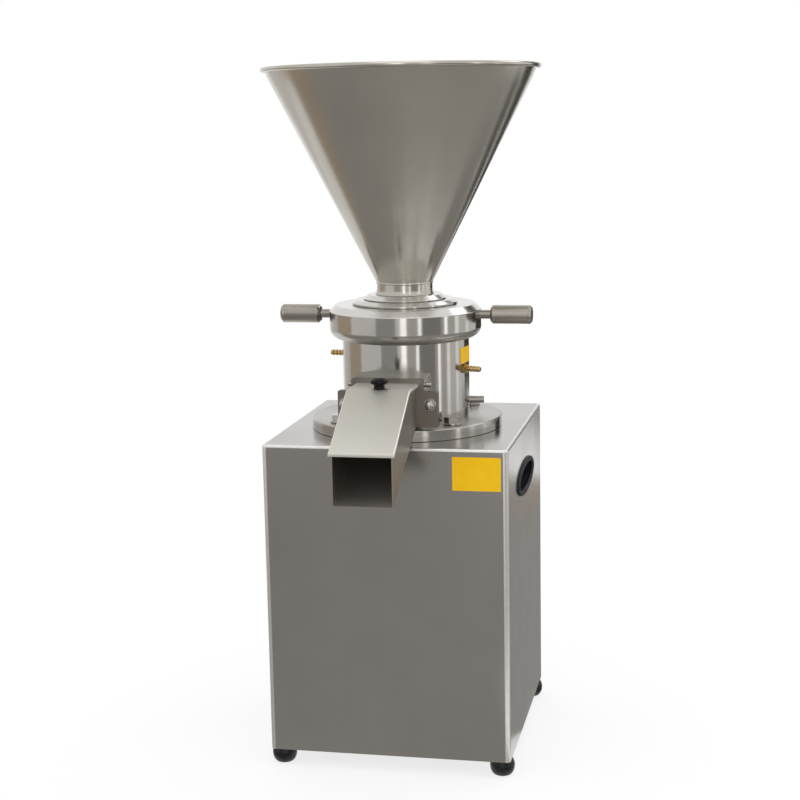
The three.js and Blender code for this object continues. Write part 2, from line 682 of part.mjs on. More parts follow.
function sidePull(name, side) {
  const mouth = (grow) => [PULL_LENGTH - 2 * PULL_RIM + 2 * grow, PULL_HEIGHT - 2 * PULL_RIM + 2 * grow];
  const rim = ellipsePlate(PULL_LENGTH, PULL_HEIGHT, PULL_LIP).translate(0, 0, SEAT_GAP);
  const bowl = ellipsePlate(...mouth(PULL_UNDERCUT), PULL_DEPTH).translate(0, 0, PULL_LIP / 2 - PULL_DEPTH);
  const hollow = ellipsePlate(...mouth(PULL_UNDERCUT - PULL_WALL), PULL_DEPTH - PULL_WALL)
    .translate(0, 0, PULL_WALL + PULL_LIP / 2 - PULL_DEPTH);
  const opening = ellipsePlate(...mouth(0), PULL_DEPTH).translate(0, 0, -CUT);
  return part(name, placeManifoldOnSide(cut(join(rim, bowl), hollow, opening), side), blackPlastic);
}

function placeManifoldOnSide(solidShape, side) {
  return placeOnSide(toGeometry(solidShape), side);
}

// Stands a shape turned about Z on the left panel: its +Z then points out of the cabinet.
function placeOnLeftPanel(geometry, row, out) {
  const z = deck - START_BELOW_TOP - row * BUTTON_PITCH;
  return alongMinusX(geometry).translate(-cabinetSide - out, cabinetFront + BUTTON_FROM_FRONT, z);
}

function bezel(name, row) {
  const bore = BUTTON_RADIUS + RUN_GAP;
  const body = BUTTON_RADIUS + BEZEL_WALL;
  const profile = [
    [0, -BEZEL_BODY], [body, -BEZEL_BODY], [body, SEAT_GAP], [BEZEL_RADIUS, SEAT_GAP],
    [BEZEL_RADIUS, BEZEL_HEIGHT - BREAK], [BEZEL_RADIUS - BREAK, BEZEL_HEIGHT], [bore, BEZEL_HEIGHT],
    [bore, BEZEL_WALL - BEZEL_BODY], [0, BEZEL_WALL - BEZEL_BODY],
  ];
  return part(name, placeOnLeftPanel(turn(profile, SMALL), row, 0), blackPlastic);
}

function button(name, row, headRadius, headHeight, material) {
  const tail = BEZEL_WALL - BEZEL_BODY + BUTTON_TRAVEL + SEAT_GAP;
  const face = BEZEL_HEIGHT + BUTTON_TRAVEL + SEAT_GAP;
  const profile = [
    [0, tail], [BUTTON_RADIUS, tail], [BUTTON_RADIUS, face], [headRadius, face],
    [headRadius, face + headHeight - BREAK], [headRadius - BREAK, face + headHeight], [0, face + headHeight],
  ];
  return part(name, placeOnLeftPanel(turn(profile, SMALL), row, 0), material);
}

// Head pieces

function outletOutline(reach, thickness) {
  const y = [-reach, -reach + thickness];
  const upper = block([-OUTLET_WIDTH / 2, OUTLET_WIDTH / 2], y,
    [flangeTop + EAR_LOW, flangeTop + OUTLET_TOP]);
  const ears = block([-EAR_WIDTH / 2, EAR_WIDTH / 2], y, [flangeTop + EAR_LOW, flangeTop + EAR_TOP]);
  return join(upper, ears);
}

function outletBore(front, back) {
  return block([-OUTLET_BORE_WIDTH / 2, OUTLET_BORE_WIDTH / 2], [front, back],
    [flangeTop + OUTLET_BORE_LOW, flangeTop + OUTLET_BORE_TOP]);
}

function studs(radius, start, length) {
  return [-1, 1].map((side) => alongMinusY(disc(radius, 0, length, FINE))
    .translate(side * STUD_X, start, flangeTop + STUD_Z));
}

function radialPlug(radius, from, to, angle, height) {
  return spin(alongX(disc(radius, from, to, FINE)), angle).translate(0, 0, height);
}

function housing() {
  const body = turnRing([
    [SEAL_BORE, flangeBottom], [FLANGE_RADIUS, flangeBottom], [FLANGE_RADIUS, flangeTop - FLANGE_CHAMFER],
    [FLANGE_RADIUS - FLANGE_CHAMFER, flangeTop], [BODY_RADIUS, flangeTop],
    [BODY_RADIUS, bodyTop], [SPIGOT_RADIUS, bodyTop], [SPIGOT_RADIUS, ringLipBottom - SPIGOT_TO_LIP],
    [spigotBore, ringLipBottom - SPIGOT_TO_LIP], [spigotBore, bodyTop + SEAT_SHOULDER],
    [GUIDE_RADIUS, bodyTop + SEAT_SHOULDER], [GUIDE_RADIUS, guideBottom],
    [chamberRadius, guideBottom - CHAMBER_TAPER], [chamberRadius, chamberFloor], [SEAL_BORE, chamberFloor],
  ]);
  const wallMiddle = (chamberRadius + BODY_RADIUS) / 2;
  const box = block([-OUTLET_WIDTH / 2, OUTLET_WIDTH / 2], [-OUTLET_REACH, -OUTLET_WIDTH / 2],
    [flangeTop - CUT, flangeTop + OUTLET_TOP]);
  const fixed = join(body, cut(box, disc(wallMiddle, flangeTop - 2 * CUT, bodyTop)),
    outletOutline(OUTLET_REACH, OUTLET_FLANGE),
    ...studs(STUD_RADIUS, CUT - OUTLET_REACH, STUD_LENGTH + CUT));
  const boltHoles = boltPlaces.map(([x, y]) =>
    disc(BOLT_RADIUS + RUN_GAP, flangeBottom - CUT, flangeTop + CUT, FINE).translate(x, y, 0));
  const socketFrom = BODY_RADIUS - PIPE_SOCKET - SEAT_GAP;
  const past = BODY_RADIUS + CUT;
  const ports = [
    radialPlug(BARB_SPIGOT + RUN_GAP, socketFrom, past, INLET_ANGLE, flangeTop + INLET_Z),
    radialPlug(BARB_SPIGOT + RUN_GAP, socketFrom, past, RETURN_ANGLE, flangeTop + RETURN_Z),
    radialPlug(DRAIN_RADIUS + RUN_GAP, chamberRadius - CUT, past, DRAIN_ANGLE, flangeTop + DRAIN_Z),
  ];
  const screwHoles = [-1, 1].map((side) => sideScrewShape(side, RUN_GAP, true));
  const outlet = outletBore(-OUTLET_REACH - CUT, -chamberRadius + 4 * CUT);
  return part('housing', cut(fixed, outlet, ...boltHoles, ...ports, ...screwHoles), turnedSteel);
}

function flangeBolts() {
  const headBottom = flangeTop + SEAT_GAP;
  const headLow = headBottom + WASHER_THICKNESS;
  const profile = [
    [0, plateBottom], [BOLT_RADIUS, plateBottom], [BOLT_RADIUS, headBottom], [WASHER_RADIUS, headBottom],
    [WASHER_RADIUS, headLow], [0, headLow],
  ];
  return boltPlaces.map(([x, y], i) => {
    const bolt = part(`flange_bolt_${i + 1}`,
      join(turn(profile, FINE), hexPrism(BOLT_FLATS, headLow - WELD, headLow + BOLT_HEAD)), turnedSteel);
    bolt.position.set(x, y, 0);
    return bolt;
  });
}

function hoseBarb(name, angle, height) {
  const start = BODY_RADIUS - PIPE_SOCKET;
  const hexFrom = BODY_RADIUS + SEAT_GAP;
  const hexTo = hexFrom + BARB_HEX;
  const stemEnd = hexTo + BARB_STEM;
  const ridge = (BARB_REACH - stemEnd) / BARB_RIDGES;
  const profile = [
    [BARB_BORE, start], [BARB_SPIGOT, start], [BARB_SPIGOT, hexFrom + WELD], [BARB_NECK, hexFrom + WELD],
  ];
  for (let i = 0; i < BARB_RIDGES; i += 1) {
    profile.push([BARB_RIDGE, stemEnd + i * ridge], [BARB_NECK, stemEnd + (i + 1) * ridge]);
  }
  profile.push([BARB_BORE, BARB_REACH]);
  const nut = cut(hexPrism(BARB_FLATS, hexFrom, hexTo), disc(BARB_BORE, hexFrom - CUT, hexTo + CUT, FINE));
  const barb = toGeometry(join(turnRing(profile, FINE), nut));
  return part(name, spin(alongX(barb), angle).translate(0, 0, flangeTop + height), brass);
}

function drainPipe() {
  const inner = DRAIN_RADIUS - DRAIN_WALL;
  const pipe = spin(alongX(tube(DRAIN_RADIUS, inner, chamberRadius + CUT, DRAIN_REACH, FINE)), DRAIN_ANGLE);
  return part('drain_pipe', pipe.translate(0, 0, flangeTop + DRAIN_Z), turnedSteel);
}

function outletGasket() {
  const front = -(OUTLET_REACH + SEAT_GAP + GASKET);
  const sheet = outletOutline(OUTLET_REACH + SEAT_GAP + GASKET, GASKET);
  const holes = studs(STUD_RADIUS + RUN_GAP, front + 2 * GASKET, 3 * GASKET);
  const bore = outletBore(front - CUT, front + GASKET + CUT);
  return part('outlet_gasket', cut(sheet, bore, ...holes), sealRubber);
}

function acornNuts() {
  const nutTop = NUT_WASHER + NUT_HEIGHT;
  const dome = scaledProfile(DOME_PROFILE, NUT_FLATS / 2, nutTop - WELD, NUT_DOME + WELD);
  const solid = join(disc(NUT_WASHER_RADIUS, 0, NUT_WASHER, SMALL),
    hexPrism(NUT_FLATS, NUT_WASHER / 2, nutTop), turn(dome, SMALL));
  const depth = STUD_LENGTH - GASKET - CHUTE_FLANGE - SEAT_GAP;
  const nut = toGeometry(cut(solid, disc(STUD_RADIUS + RUN_GAP, -CUT, depth, FINE)));
  return [['acorn_nut_left', -1], ['acorn_nut_right', 1]].map(([name, side]) => {
    const placed = alongMinusY(nut.clone())
      .translate(side * STUD_X, chuteFlangeFace - SEAT_GAP, flangeTop + STUD_Z);
    return part(name, placed, turnedSteel);
  });
}

function sideScrewShape(side, grow, hole) {
  const face = OUTLET_WIDTH / 2 + SEAT_GAP;
  const end = face + SIDE_SCREW_LENGTH;
  const neckEnd = OUTLET_BORE_WIDTH / 2 + SIDE_SCREW_BLIND - grow;
  const neck = alongX(disc(SIDE_SCREW_NECK + grow, neckEnd, face + WELD, FINE));
  const head = alongX(disc(SIDE_SCREW_RADIUS, face, end, FINE));
  const socket = alongX(disc(SIDE_SCREW_RADIUS / 2, end - SIDE_SCREW_SOCKET, end + CUT, 6));
  const shape = hole ? toSolid(neck) : cut(join(neck, head), socket);
  return toSolid(spin(toGeometry(shape), side > 0 ? 0 : 180))
    .translate([0, SIDE_SCREW_BACK - OUTLET_REACH, flangeTop + SIDE_SCREW_Z]);
}

function sideScrews() {
  return [['outlet_screw_left', -1], ['outlet_screw_right', 1]]
    .map(([name, side]) => part(name, sideScrewShape(side, 0, false), turnedSteel));
}

function sealSeat() {
  const bore = SHAFT_SEAL + SHAFT_GAP;
  const radius = SEAL_BORE - RUN_GAP;
  const top = chamberFloor + SEAL_SEAT_STEP;
  return part('seal_seat', turnRing([
    [bore, flangeBottom], [radius, flangeBottom], [radius, top - SEAL_SEAT_STEP / 2],
    [radius - SEAL_SEAT_STEP, top], [bore, top],
  ], MEDIUM), turnedSteel);
}

// Chute and its lid

// Heights of the chute's side profile, taken from the housing flange's top.
const levelTop = flangeTop + CHUTE_TOP - SEAT_GAP;
const mouthTop = flangeTop + CHUTE_MOUTH_TOP - SEAT_GAP;
const mouthLow = flangeTop + CHUTE_MOUTH_TOP - CHUTE_MOUTH_HEIGHT;
const chuteFloor = flangeTop + CHUTE_LOW;
const chuteBreak = -(FLANGE_RADIUS + WELD);

function chute() {
  const outer = [
    [-CHUTE_REACH, mouthLow], [-CHUTE_REACH, mouthTop], [-CHUTE_BEND, levelTop],
    [chuteFlangeFace + WELD, levelTop], [chuteFlangeFace + WELD, chuteFloor], [chuteBreak, chuteFloor],
  ];
  const slope = Math.atan2(chuteFloor - mouthLow, CHUTE_REACH + chuteBreak);
  const floorRise = CHUTE_SHEET / Math.cos(slope);
  const inner = [
    [-CHUTE_REACH - CUT, mouthLow + floorRise - CUT * Math.tan(slope)], [-CHUTE_REACH - CUT, levelTop + CUT],
    [chuteFlangeFace, levelTop + CUT], [chuteFlangeFace, chuteFloor + CHUTE_SHEET],
    [chuteBreak, chuteFloor + floorRise],
  ];
  const trough = cut(sideProfile(outer, CHUTE_WIDTH), sideProfile(inner, CHUTE_WIDTH - 2 * CHUTE_SHEET));
  const plate = outletOutline(-chuteFlangeFace, CHUTE_FLANGE);
  const bore = outletBore(chuteFlangeFace - CUT, chuteBack + CUT);
  const holes = studs(STUD_RADIUS + RUN_GAP, chuteBack + CUT, CHUTE_FLANGE + 2 * CUT);
  return part('outlet_chute', cut(join(trough, plate), bore, ...holes), chuteSteel);
}

function chuteLid() {
  const fall = (levelTop - mouthTop) / (CHUTE_REACH - CHUTE_BEND);
  const front = -(CHUTE_REACH + LID_OVERHANG);
  const rear = chuteFlangeFace - SEAT_GAP;
  const under = SEAT_GAP;
  const frontUnder = mouthTop + under - LID_OVERHANG * fall;
  const outline = (rise, drop, past) => [
    [front + past, frontUnder + past * fall + rise], [-CHUTE_BEND, levelTop + under + rise],
    [rear + past, levelTop + under + rise], [rear + past, levelTop + under + drop],
    [-CHUTE_BEND, levelTop + under + drop], [front + past, frontUnder + past * fall + drop],
  ];
  const outside = sideProfile(outline(LID_SHEET, -LID_LIP, 0), LID_WIDTH);
  const inside = sideProfile(outline(0, -2 * LID_LIP, LID_SHEET), LID_WIDTH - 2 * LID_SHEET);
  return part('chute_lid', cut(outside, inside), chuteSteel);
}

function lidKnob() {
  const low = levelTop + LID_SHEET + 2 * SEAT_GAP;
  const profile = scaledProfile(KNOB_PROFILE, KNOB_RADIUS, 0, KNOB_HEIGHT);
  const knob = part('lid_knob', turn(profile, SMALL), blackPlastic);
  knob.position.set(0, KNOB_BEHIND_BEND - CHUTE_BEND, low);
  return knob;
}

// Adjusting ring with its two handles

function adjustingRing() {
  const bore = SPIGOT_RADIUS + RUN_GAP;
  const underside = [0, 30, 60, 90].map((angle) => {
    const [up, out] = polar(1, angle);
    return [BODY_RADIUS + out * (RING_RADIUS - BODY_RADIUS), ringBottom + (1 - up) * RING_UNDERSIDE];
  });
  const ring = turnRing([
    ...underside,
    [RING_RADIUS, ringTop - RING_TOP_BEVEL], [RING_TOP_RADIUS, ringTop], [RING_LIP_BORE, ringTop],
    [RING_LIP_BORE, ringLipBottom], [bore, ringLipBottom], [bore, ringBottom],
  ]);
  const sockets = [0, 180].map((angle) =>
    radialPlug(ROD_RADIUS + RUN_GAP, RING_RADIUS - ROD_SOCKET - SEAT_GAP, RING_RADIUS + CUT, angle,
      ringTop - ROD_BELOW_TOP));
  return part('adjusting_ring', cut(ring, ...sockets), turnedSteel);
}

function handle(suffix, angle) {
  const bottom = GRIP_START + GRIP_BORE;
  const rod = disc(ROD_RADIUS, RING_RADIUS - ROD_SOCKET, bottom - SEAT_GAP, FINE);
  const end = GRIP_START + GRIP_LENGTH;
  const bore = ROD_RADIUS + RUN_GAP;
  const grip = turn([
    [0, bottom], [bore, bottom], [bore, GRIP_START], [GRIP_RADIUS - GRIP_CHAMFER, GRIP_START],
    [GRIP_RADIUS, GRIP_START + GRIP_CHAMFER], [GRIP_RADIUS, end - GRIP_CHAMFER],
    [GRIP_RADIUS - GRIP_CHAMFER, end], [0, end],
  ], SMALL);
  const raise = (geometry) => spin(alongX(geometry), angle).translate(0, 0, ringTop - ROD_BELOW_TOP);
  return [
    part(`handle_rod_${suffix}`, raise(rod), turnedSteel),
    part(`handle_grip_${suffix}`, raise(grip), turnedSteel),
  ];
}

// Stator seat, cap, toothed stator and its seal

function statorSeat() {
  const guide = GUIDE_RADIUS - RUN_GAP;
  const shoulder = bodyTop + SEAT_SHOULDER + 2 * SEAT_GAP;
  const socket = STATOR_RADIUS + SEAT_GAP;
  const skirt = STATOR_RADIUS + STATOR_SKIRT;
  const groove = guide - SEAL_CORD;
  const grooveTop = grooveLow + SEAL_CORD + 2 * SEAT_GAP;
  const collar = spigotBore - RUN_GAP;
  const neck = RING_LIP_BORE - RUN_GAP;
  return part('stator_seat', turnRing([
    [socket, statorBottom], [skirt, statorBottom], [skirt, statorTop], [guide, statorTop],
    [guide, grooveLow], [groove, grooveLow], [groove, grooveTop], [guide, grooveTop], [guide, shoulder],
    [collar, shoulder], [collar, ringLipBottom - SEAT_GAP], [neck, ringLipBottom - SEAT_GAP], [neck, ringTop],
    [THROAT_RADIUS, ringTop], [THROAT_RADIUS, ringTop - THROAT_DEPTH],
    [THROAT_LOW_RADIUS, statorTop + STATOR_LEDGE], [THROAT_LOW_RADIUS, statorTop + SEAT_GAP],
    [socket, statorTop + SEAT_GAP],
  ], MEDIUM), turnedSteel);
}

function seatSeal() {
  const inner = GUIDE_RADIUS - RUN_GAP - SEAL_CORD + SEAT_GAP;
  const middle = inner + SEAL_CORD / 2;
  const low = grooveLow + SEAT_GAP;
  return part('seat_o_ring', turnRing([
    [inner, low + SEAL_CORD / 4], [middle, low], [inner + SEAL_CORD, low + SEAL_CORD / 4],
    [inner + SEAL_CORD, low + SEAL_CORD * 0.75], [middle, low + SEAL_CORD], [inner, low + SEAL_CORD * 0.75],
  ], MEDIUM), sealRubber);
}

function seatCap() {
  return part('seat_cap', turnRing([
    [THROAT_RADIUS, capBottom], [CAP_RADIUS, capBottom], [CAP_RADIUS, capBottom + CAP_EDGE],
    [CAP_TOP_RADIUS, capTop], [THROAT_RADIUS, capTop],
  ]), turnedSteel);
}

function statorRing() {
  const rise = CUT / STATOR_HEIGHT * (ROTOR_LOW_RADIUS - ROTOR_TOP_RADIUS);
  const tips = GRIND_GAP + TOOTH_DEPTH;
  const teeth = toothedCone(ROTOR_LOW_RADIUS + tips + rise, ROTOR_TOP_RADIUS + tips - rise,
    statorBottom - CUT, statorTop + CUT, TOOTH_DEPTH);
  return part('stator_ring', cut(disc(STATOR_RADIUS, statorBottom, statorTop, MEDIUM), teeth), turnedSteel);
}

// Rotor pieces

function rotorCone() {
  const cone = toothedCone(ROTOR_LOW_RADIUS, ROTOR_TOP_RADIUS, rotorBottom, rotorTop, TOOTH_DEPTH);
  const bore = disc(SHAFT_ROTOR + SEAT_GAP, rotorBottom - CUT, rotorTop + CUT, MEDIUM);
  return part('rotor_cone', cut(cone, bore), turnedSteel);
}

const impellerBottom = rotorTop + SEAT_GAP;
const impellerTop = impellerBottom + IMPELLER_HEIGHT;
const capNutBottom = impellerTop + SEAT_GAP;

function feedImpeller() {
  const hub = disc(IMPELLER_HUB, impellerBottom, impellerTop, MEDIUM);
  const middle = (impellerBottom + impellerTop) / 2;
  const blades = [0, 120, 240].map((angle) => {
    const half = IMPELLER_HEIGHT * BLADE_SHARE;
    const flat = [-BLADE_THICKNESS / 2, BLADE_THICKNESS / 2];
    const blade = block([IMPELLER_HUB / 2, IMPELLER_REACH], flat, [-half, half])
      .rotateX(THREE.MathUtils.degToRad(BLADE_TILT)).translate(0, 0, middle);
    return spin(blade, angle);
  });
  const bore = disc(SHAFT_THREAD + SEAT_GAP, impellerBottom - CUT, impellerTop + CUT, MEDIUM);
  return part('feed_impeller', cut(join(hub, ...blades), bore), turnedSteel);
}

function capNut() {
  const top = capNutBottom + CAP_NUT_HEIGHT;
  const dome = scaledProfile(DOME_PROFILE, CAP_NUT_FLATS / 2, top - CAP_NUT_DOME - WELD, CAP_NUT_DOME + WELD);
  const solid = join(hexPrism(CAP_NUT_FLATS, capNutBottom, top - CAP_NUT_DOME), turn(dome, SMALL));
  const bore = disc(SHAFT_THREAD + SEAT_GAP, capNutBottom - CUT, capNutBottom + CAP_NUT_HEIGHT / 2, SMALL);
  return part('rotor_cap_nut', cut(solid, bore), turnedSteel);
}

const sealRingBottom = chamberFloor + SEAL_SEAT_STEP + SEAT_GAP;
const paddleBottom = sealRingBottom + SEAL_RING_HEIGHT + SEAT_GAP;

function sealRing() {
  const top = sealRingBottom + SEAL_RING_HEIGHT;
  const ring = tube(SEAL_RING_RADIUS, SHAFT_SEAL + SEAT_GAP, sealRingBottom, top, MEDIUM);
  return part('seal_ring', ring, castIron);
}

function dischargePaddle() {
  const top = rotorBottom - SEAT_GAP;
  const hub = disc(PADDLE_HUB, paddleBottom, top, MEDIUM);
  const blades = [0, 90, 180, 270].map((angle) =>
    spin(block([PADDLE_HUB / 2, PADDLE_REACH], [-PADDLE_THICKNESS / 2, PADDLE_THICKNESS / 2],
      [paddleBottom, paddleBottom + PADDLE_HEIGHT]), angle));
  const bore = disc(SHAFT_SEAL + SEAT_GAP, paddleBottom - CUT, top + CUT, MEDIUM);
  return part('discharge_paddle', cut(join(hub, ...blades), bore), turnedSteel);
}

const topBearingLow = bellBottom + BEARING_RECESS;
const lowBearingLow = lowBellTop - BEARING_RECESS - BEARING_HEIGHT;
const coreLow = (bellBottom + motorBottom - CORE_LENGTH) / 2;

function mainShaft() {
  const steps = [
    [SHAFT_FAN, cowlBottom + FAN_ABOVE_COWL, lowBellBottom - SHAFT_SHOULDER],
    [SHAFT_LOW_JOURNAL, lowBellBottom - SHAFT_SHOULDER, lowBellTop + SHAFT_SHOULDER],
    [SHAFT_CORE, lowBellTop + SHAFT_SHOULDER, topBearingLow - SHAFT_SHOULDER],
    [SHAFT_TOP_JOURNAL, topBearingLow - SHAFT_SHOULDER, plateTop],
    [SHAFT_SEAL, plateTop, rotorBottom - SEAT_GAP],
    [SHAFT_ROTOR, rotorBottom - SEAT_GAP, rotorTop],
    [SHAFT_THREAD, rotorTop, capNutBottom + CAP_NUT_HEIGHT / 2 - 2 * SEAT_GAP],
  ];
  const profile = steps.flatMap(([radius, low, high]) => [[radius, low], [radius, high]]);
  return part('main_shaft',
    turn([[0, profile[0][1]], ...profile, [0, profile.at(-1)[1]]], MEDIUM), turnedSteel);
}

function motorRotorCore() {
  return part('motor_rotor_core',
    tube(CORE_BORE - SHAFT_GAP, SHAFT_CORE + SEAT_GAP, coreLow, coreLow + CORE_LENGTH, MEDIUM), castIron);
}

function motorFan() {
  const low = cowlBottom + FAN_ABOVE_COWL;
  const top = low + FAN_HEIGHT;
  const hub = disc(FAN_HUB, low, top, MEDIUM);
  const web = disc(FAN_WEB, top - FAN_WALL, top, MEDIUM);
  const flat = [-FAN_WALL / 2, FAN_WALL / 2];
  const blades = Array.from({ length: FAN_BLADES }, (_, i) =>
    spin(block([FAN_HUB - WELD, FAN_REACH], flat, [low + BREAK, top - BREAK]), (i * 360) / FAN_BLADES));
  const bore = disc(SHAFT_FAN + SEAT_GAP, low - CUT, low + FAN_HEIGHT + CUT, MEDIUM);
  return part('motor_fan', cut(join(hub, web, ...blades), bore), blackPlastic);
}

// Fixed motor pieces

function motorFrame() {
  const inner = MOTOR_RADIUS - MOTOR_WALL;
  const barrel = disc(MOTOR_RADIUS, motorBottom, bellBottom - SEAT_GAP, MEDIUM);
  const across = [inner + MOTOR_WALL / 2, MOTOR_RADIUS + MOTOR_FIN];
  const along = [motorBottom + FIN_END, bellBottom - FIN_END];
  const fins = Array.from({ length: MOTOR_FINS }, (_, i) =>
    spin(block(across, [-FIN_THICKNESS / 2, FIN_THICKNESS / 2], along), ((i + 0.5) * 360) / MOTOR_FINS));
  const bore = disc(inner, motorBottom - CUT, bellBottom + CUT, MEDIUM);
  return part('motor_frame', cut(join(barrel, ...fins), bore), motorPaint);
}

function motorStatorCore() {
  const outer = MOTOR_RADIUS - MOTOR_WALL - SEAT_GAP;
  const [low, high] = [coreLow, coreLow + CORE_LENGTH];
  const winding = (CORE_BORE + outer) / 2;
  return part('motor_stator_core', turnRing([
    [CORE_BORE, low - WINDING_HEIGHT], [winding, low - WINDING_HEIGHT], [winding, low], [outer, low],
    [outer, high], [winding, high], [winding, high + WINDING_HEIGHT], [CORE_BORE, high + WINDING_HEIGHT],
  ], MEDIUM), copper);
}

function motorTopBell() {
  const pocket = TOP_BEARING_RADIUS + SEAT_GAP;
  const bore = SHAFT_TOP_JOURNAL + SHAFT_GAP;
  return part('motor_top_bell', turnRing([
    [pocket, bellBottom], [MOTOR_RADIUS, bellBottom], [MOTOR_RADIUS, motorTop - MOTOR_FLANGE],
    [MOTOR_FLANGE_RADIUS, motorTop - MOTOR_FLANGE], [MOTOR_FLANGE_RADIUS, motorTop], [bore, motorTop],
    [bore, topBearingLow + BEARING_HEIGHT + SEAT_GAP], [pocket, topBearingLow + BEARING_HEIGHT + SEAT_GAP],
  ], MEDIUM), motorPaint);
}

function motorLowBell() {
  const pocket = LOW_BEARING_RADIUS + SEAT_GAP;
  const bore = SHAFT_LOW_JOURNAL + SHAFT_GAP;
  return part('motor_low_bell', turnRing([
    [bore, lowBellBottom], [MOTOR_RADIUS - BELL_BEVEL, lowBellBottom],
    [MOTOR_RADIUS, lowBellBottom + BELL_BEVEL],
    [MOTOR_RADIUS, lowBellTop], [pocket, lowBellTop], [pocket, lowBearingLow - SEAT_GAP],
    [bore, lowBearingLow - SEAT_GAP],
  ], MEDIUM), motorPaint);
}

function bearing(name, outer, journal, low) {
  return part(name, tube(outer, journal + SEAT_GAP, low, low + BEARING_HEIGHT, MEDIUM), turnedSteel);
}

function fanCowl() {
  const inner = MOTOR_RADIUS + SEAT_GAP;
  const outer = inner + COWL_SHEET;
  const top = lowBellTop - COWL_OVERLAP;
  const floor = cowlBottom + COWL_SHEET;
  const cup = turn([
    [0, cowlBottom], [outer - BELL_BEVEL, cowlBottom], [outer, cowlBottom + BELL_BEVEL], [outer, top],
    [inner, top], [inner, floor + BELL_BEVEL], [inner - BELL_BEVEL + BREAK, floor], [0, floor],
  ], MEDIUM);
  const slot = [[COWL_SLOT_START, COWL_SLOT_END], [-COWL_SLOT_WIDTH / 2, COWL_SLOT_WIDTH / 2],
    [cowlBottom - CUT, floor + CUT]];
  const slots = Array.from({ length: COWL_SLOTS }, (_, i) => spin(block(...slot), (i * 360) / COWL_SLOTS));
  return part('fan_cowl', cut(cup, ...slots), motorPaint);
}

function terminalBox() {
  const clear = MOTOR_RADIUS + MOTOR_FIN + SEAT_GAP;
  const middle = (motorBottom + bellBottom) / 2 + BOX_ABOVE_MIDDLE;
  const height = [middle - BOX_HEIGHT / 2, middle + BOX_HEIGHT / 2];
  const box = block([-BOX_WIDTH / 2, BOX_WIDTH / 2], [BOX_ROOT, clear + BOX_DEPTH], height);
  return part('terminal_box', cut(box, disc(clear, height[0] - CUT, height[1] + CUT, 2 * ROUND)), motorPaint);
}

// Hopper with its collar

function hopperCollar() {
  const spigot = THROAT_RADIUS - RUN_GAP;
  const bore = spigot - HOPPER_SHEET;
  return part('hopper_collar', turnRing([
    [bore, collarBottom - COLLAR_SPIGOT], [spigot, collarBottom - COLLAR_SPIGOT], [spigot, collarBottom],
    [COLLAR_RADIUS, collarBottom], [COLLAR_RADIUS, collarBottom + COLLAR_EDGE],
    [COLLAR_TOP_RADIUS, collarTop], [bore, collarTop],
  ]), turnedSteel);
}

function hopper() {
  const sheet = HOPPER_SHEET;
  const bendLow = coneBottom - HOPPER_NECK_BEND;
  const bead = new THREE.Vector2(HOPPER_TOP_RADIUS - sheet / 2 + HOPPER_BEAD, coneTop);
  const curl = [-130, -65, 0, 65, 130].map((degrees) => {
    const [x, y] = polar(HOPPER_BEAD, degrees);
    return [bead.x + x, bead.y + y];
  });
  const outside = [
    [HOPPER_NECK_FOOT, neckBottom], [HOPPER_NECK_RADIUS, neckBottom + HOPPER_NECK_FLARE],
    [HOPPER_NECK_RADIUS, bendLow], [HOPPER_NECK_RADIUS + HOPPER_BEND_OUT, coneBottom],
  ];
  const inside = [
    [HOPPER_TOP_RADIUS - sheet, coneTop], [HOPPER_NECK_RADIUS + HOPPER_BEND_OUT - sheet, coneBottom],
    [HOPPER_NECK_RADIUS - sheet, bendLow], [HOPPER_NECK_RADIUS - sheet, neckBottom],
  ];
  return part('hopper', turnRing([...outside, ...curl, ...inside]), brushedSteel);
}

// Assembly: one group for each set of pieces that moves together

const cabinet = group(
  cabinetShell(), rearPanel(), cableGland(), carryingFrame(), motorPlate(), feet(),
  sidePull('side_pull_left', -1), sidePull('side_pull_right', 1),
  bezel('start_bezel', 0), bezel('stop_bezel', 1),
);
const startButton = group(button('start_button', 0, BUTTON_RADIUS, START_HEAD_HEIGHT, greenPlastic));
const stopButton = group(button('stop_button', 1, STOP_HEAD_RADIUS, STOP_HEAD_HEIGHT, redPlastic));
const head = group(
  housing(), flangeBolts(), hoseBarb('water_inlet_barb', INLET_ANGLE, INLET_Z),
  hoseBarb('water_return_barb', RETURN_ANGLE, RETURN_Z), drainPipe(), sealSeat(),
  outletGasket(), acornNuts(), sideScrews(), chute(),
);
const motor = group(
  motorFrame(), motorStatorCore(), motorTopBell(), motorLowBell(), fanCowl(), terminalBox(),
  bearing('top_bearing', TOP_BEARING_RADIUS, SHAFT_TOP_JOURNAL, topBearingLow),
  bearing('low_bearing', LOW_BEARING_RADIUS, SHAFT_LOW_JOURNAL, lowBearingLow),
);
const rotor = group(
  mainShaft(), rotorCone(), feedImpeller(), capNut(), sealRing(), dischargePaddle(), motorRotorCore(),
  motorFan(),
);
const ring = group(adjustingRing(), handle('left', 180), handle('right', 0));
const stator = group(statorSeat(), seatSeal(), seatCap(), statorRing());
const feed = group(hopperCollar(), hopper());
const lid = group(chuteLid(), lidKnob());

const mill = group(cabinet, startButton, stopButton, head, motor, rotor, ring, stator, feed, lid);
mill.name = 'colloid_mill';
mill.position.y = headY;

export default mill;
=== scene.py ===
"""Upright colloid mill for nut butter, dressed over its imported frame.

Sizes are written in millimetres from the grinding head's axis and from the floor, and each finished
mesh is moved into the frame in metres. Every sub-assembly is a class that builds and dresses its pieces.
"""

from __future__ import annotations

import logging
import math
from dataclasses import dataclass
from enum import Enum
from typing import Callable, Protocol, Sequence

import bmesh
import bpy
from mathutils import Matrix, Vector


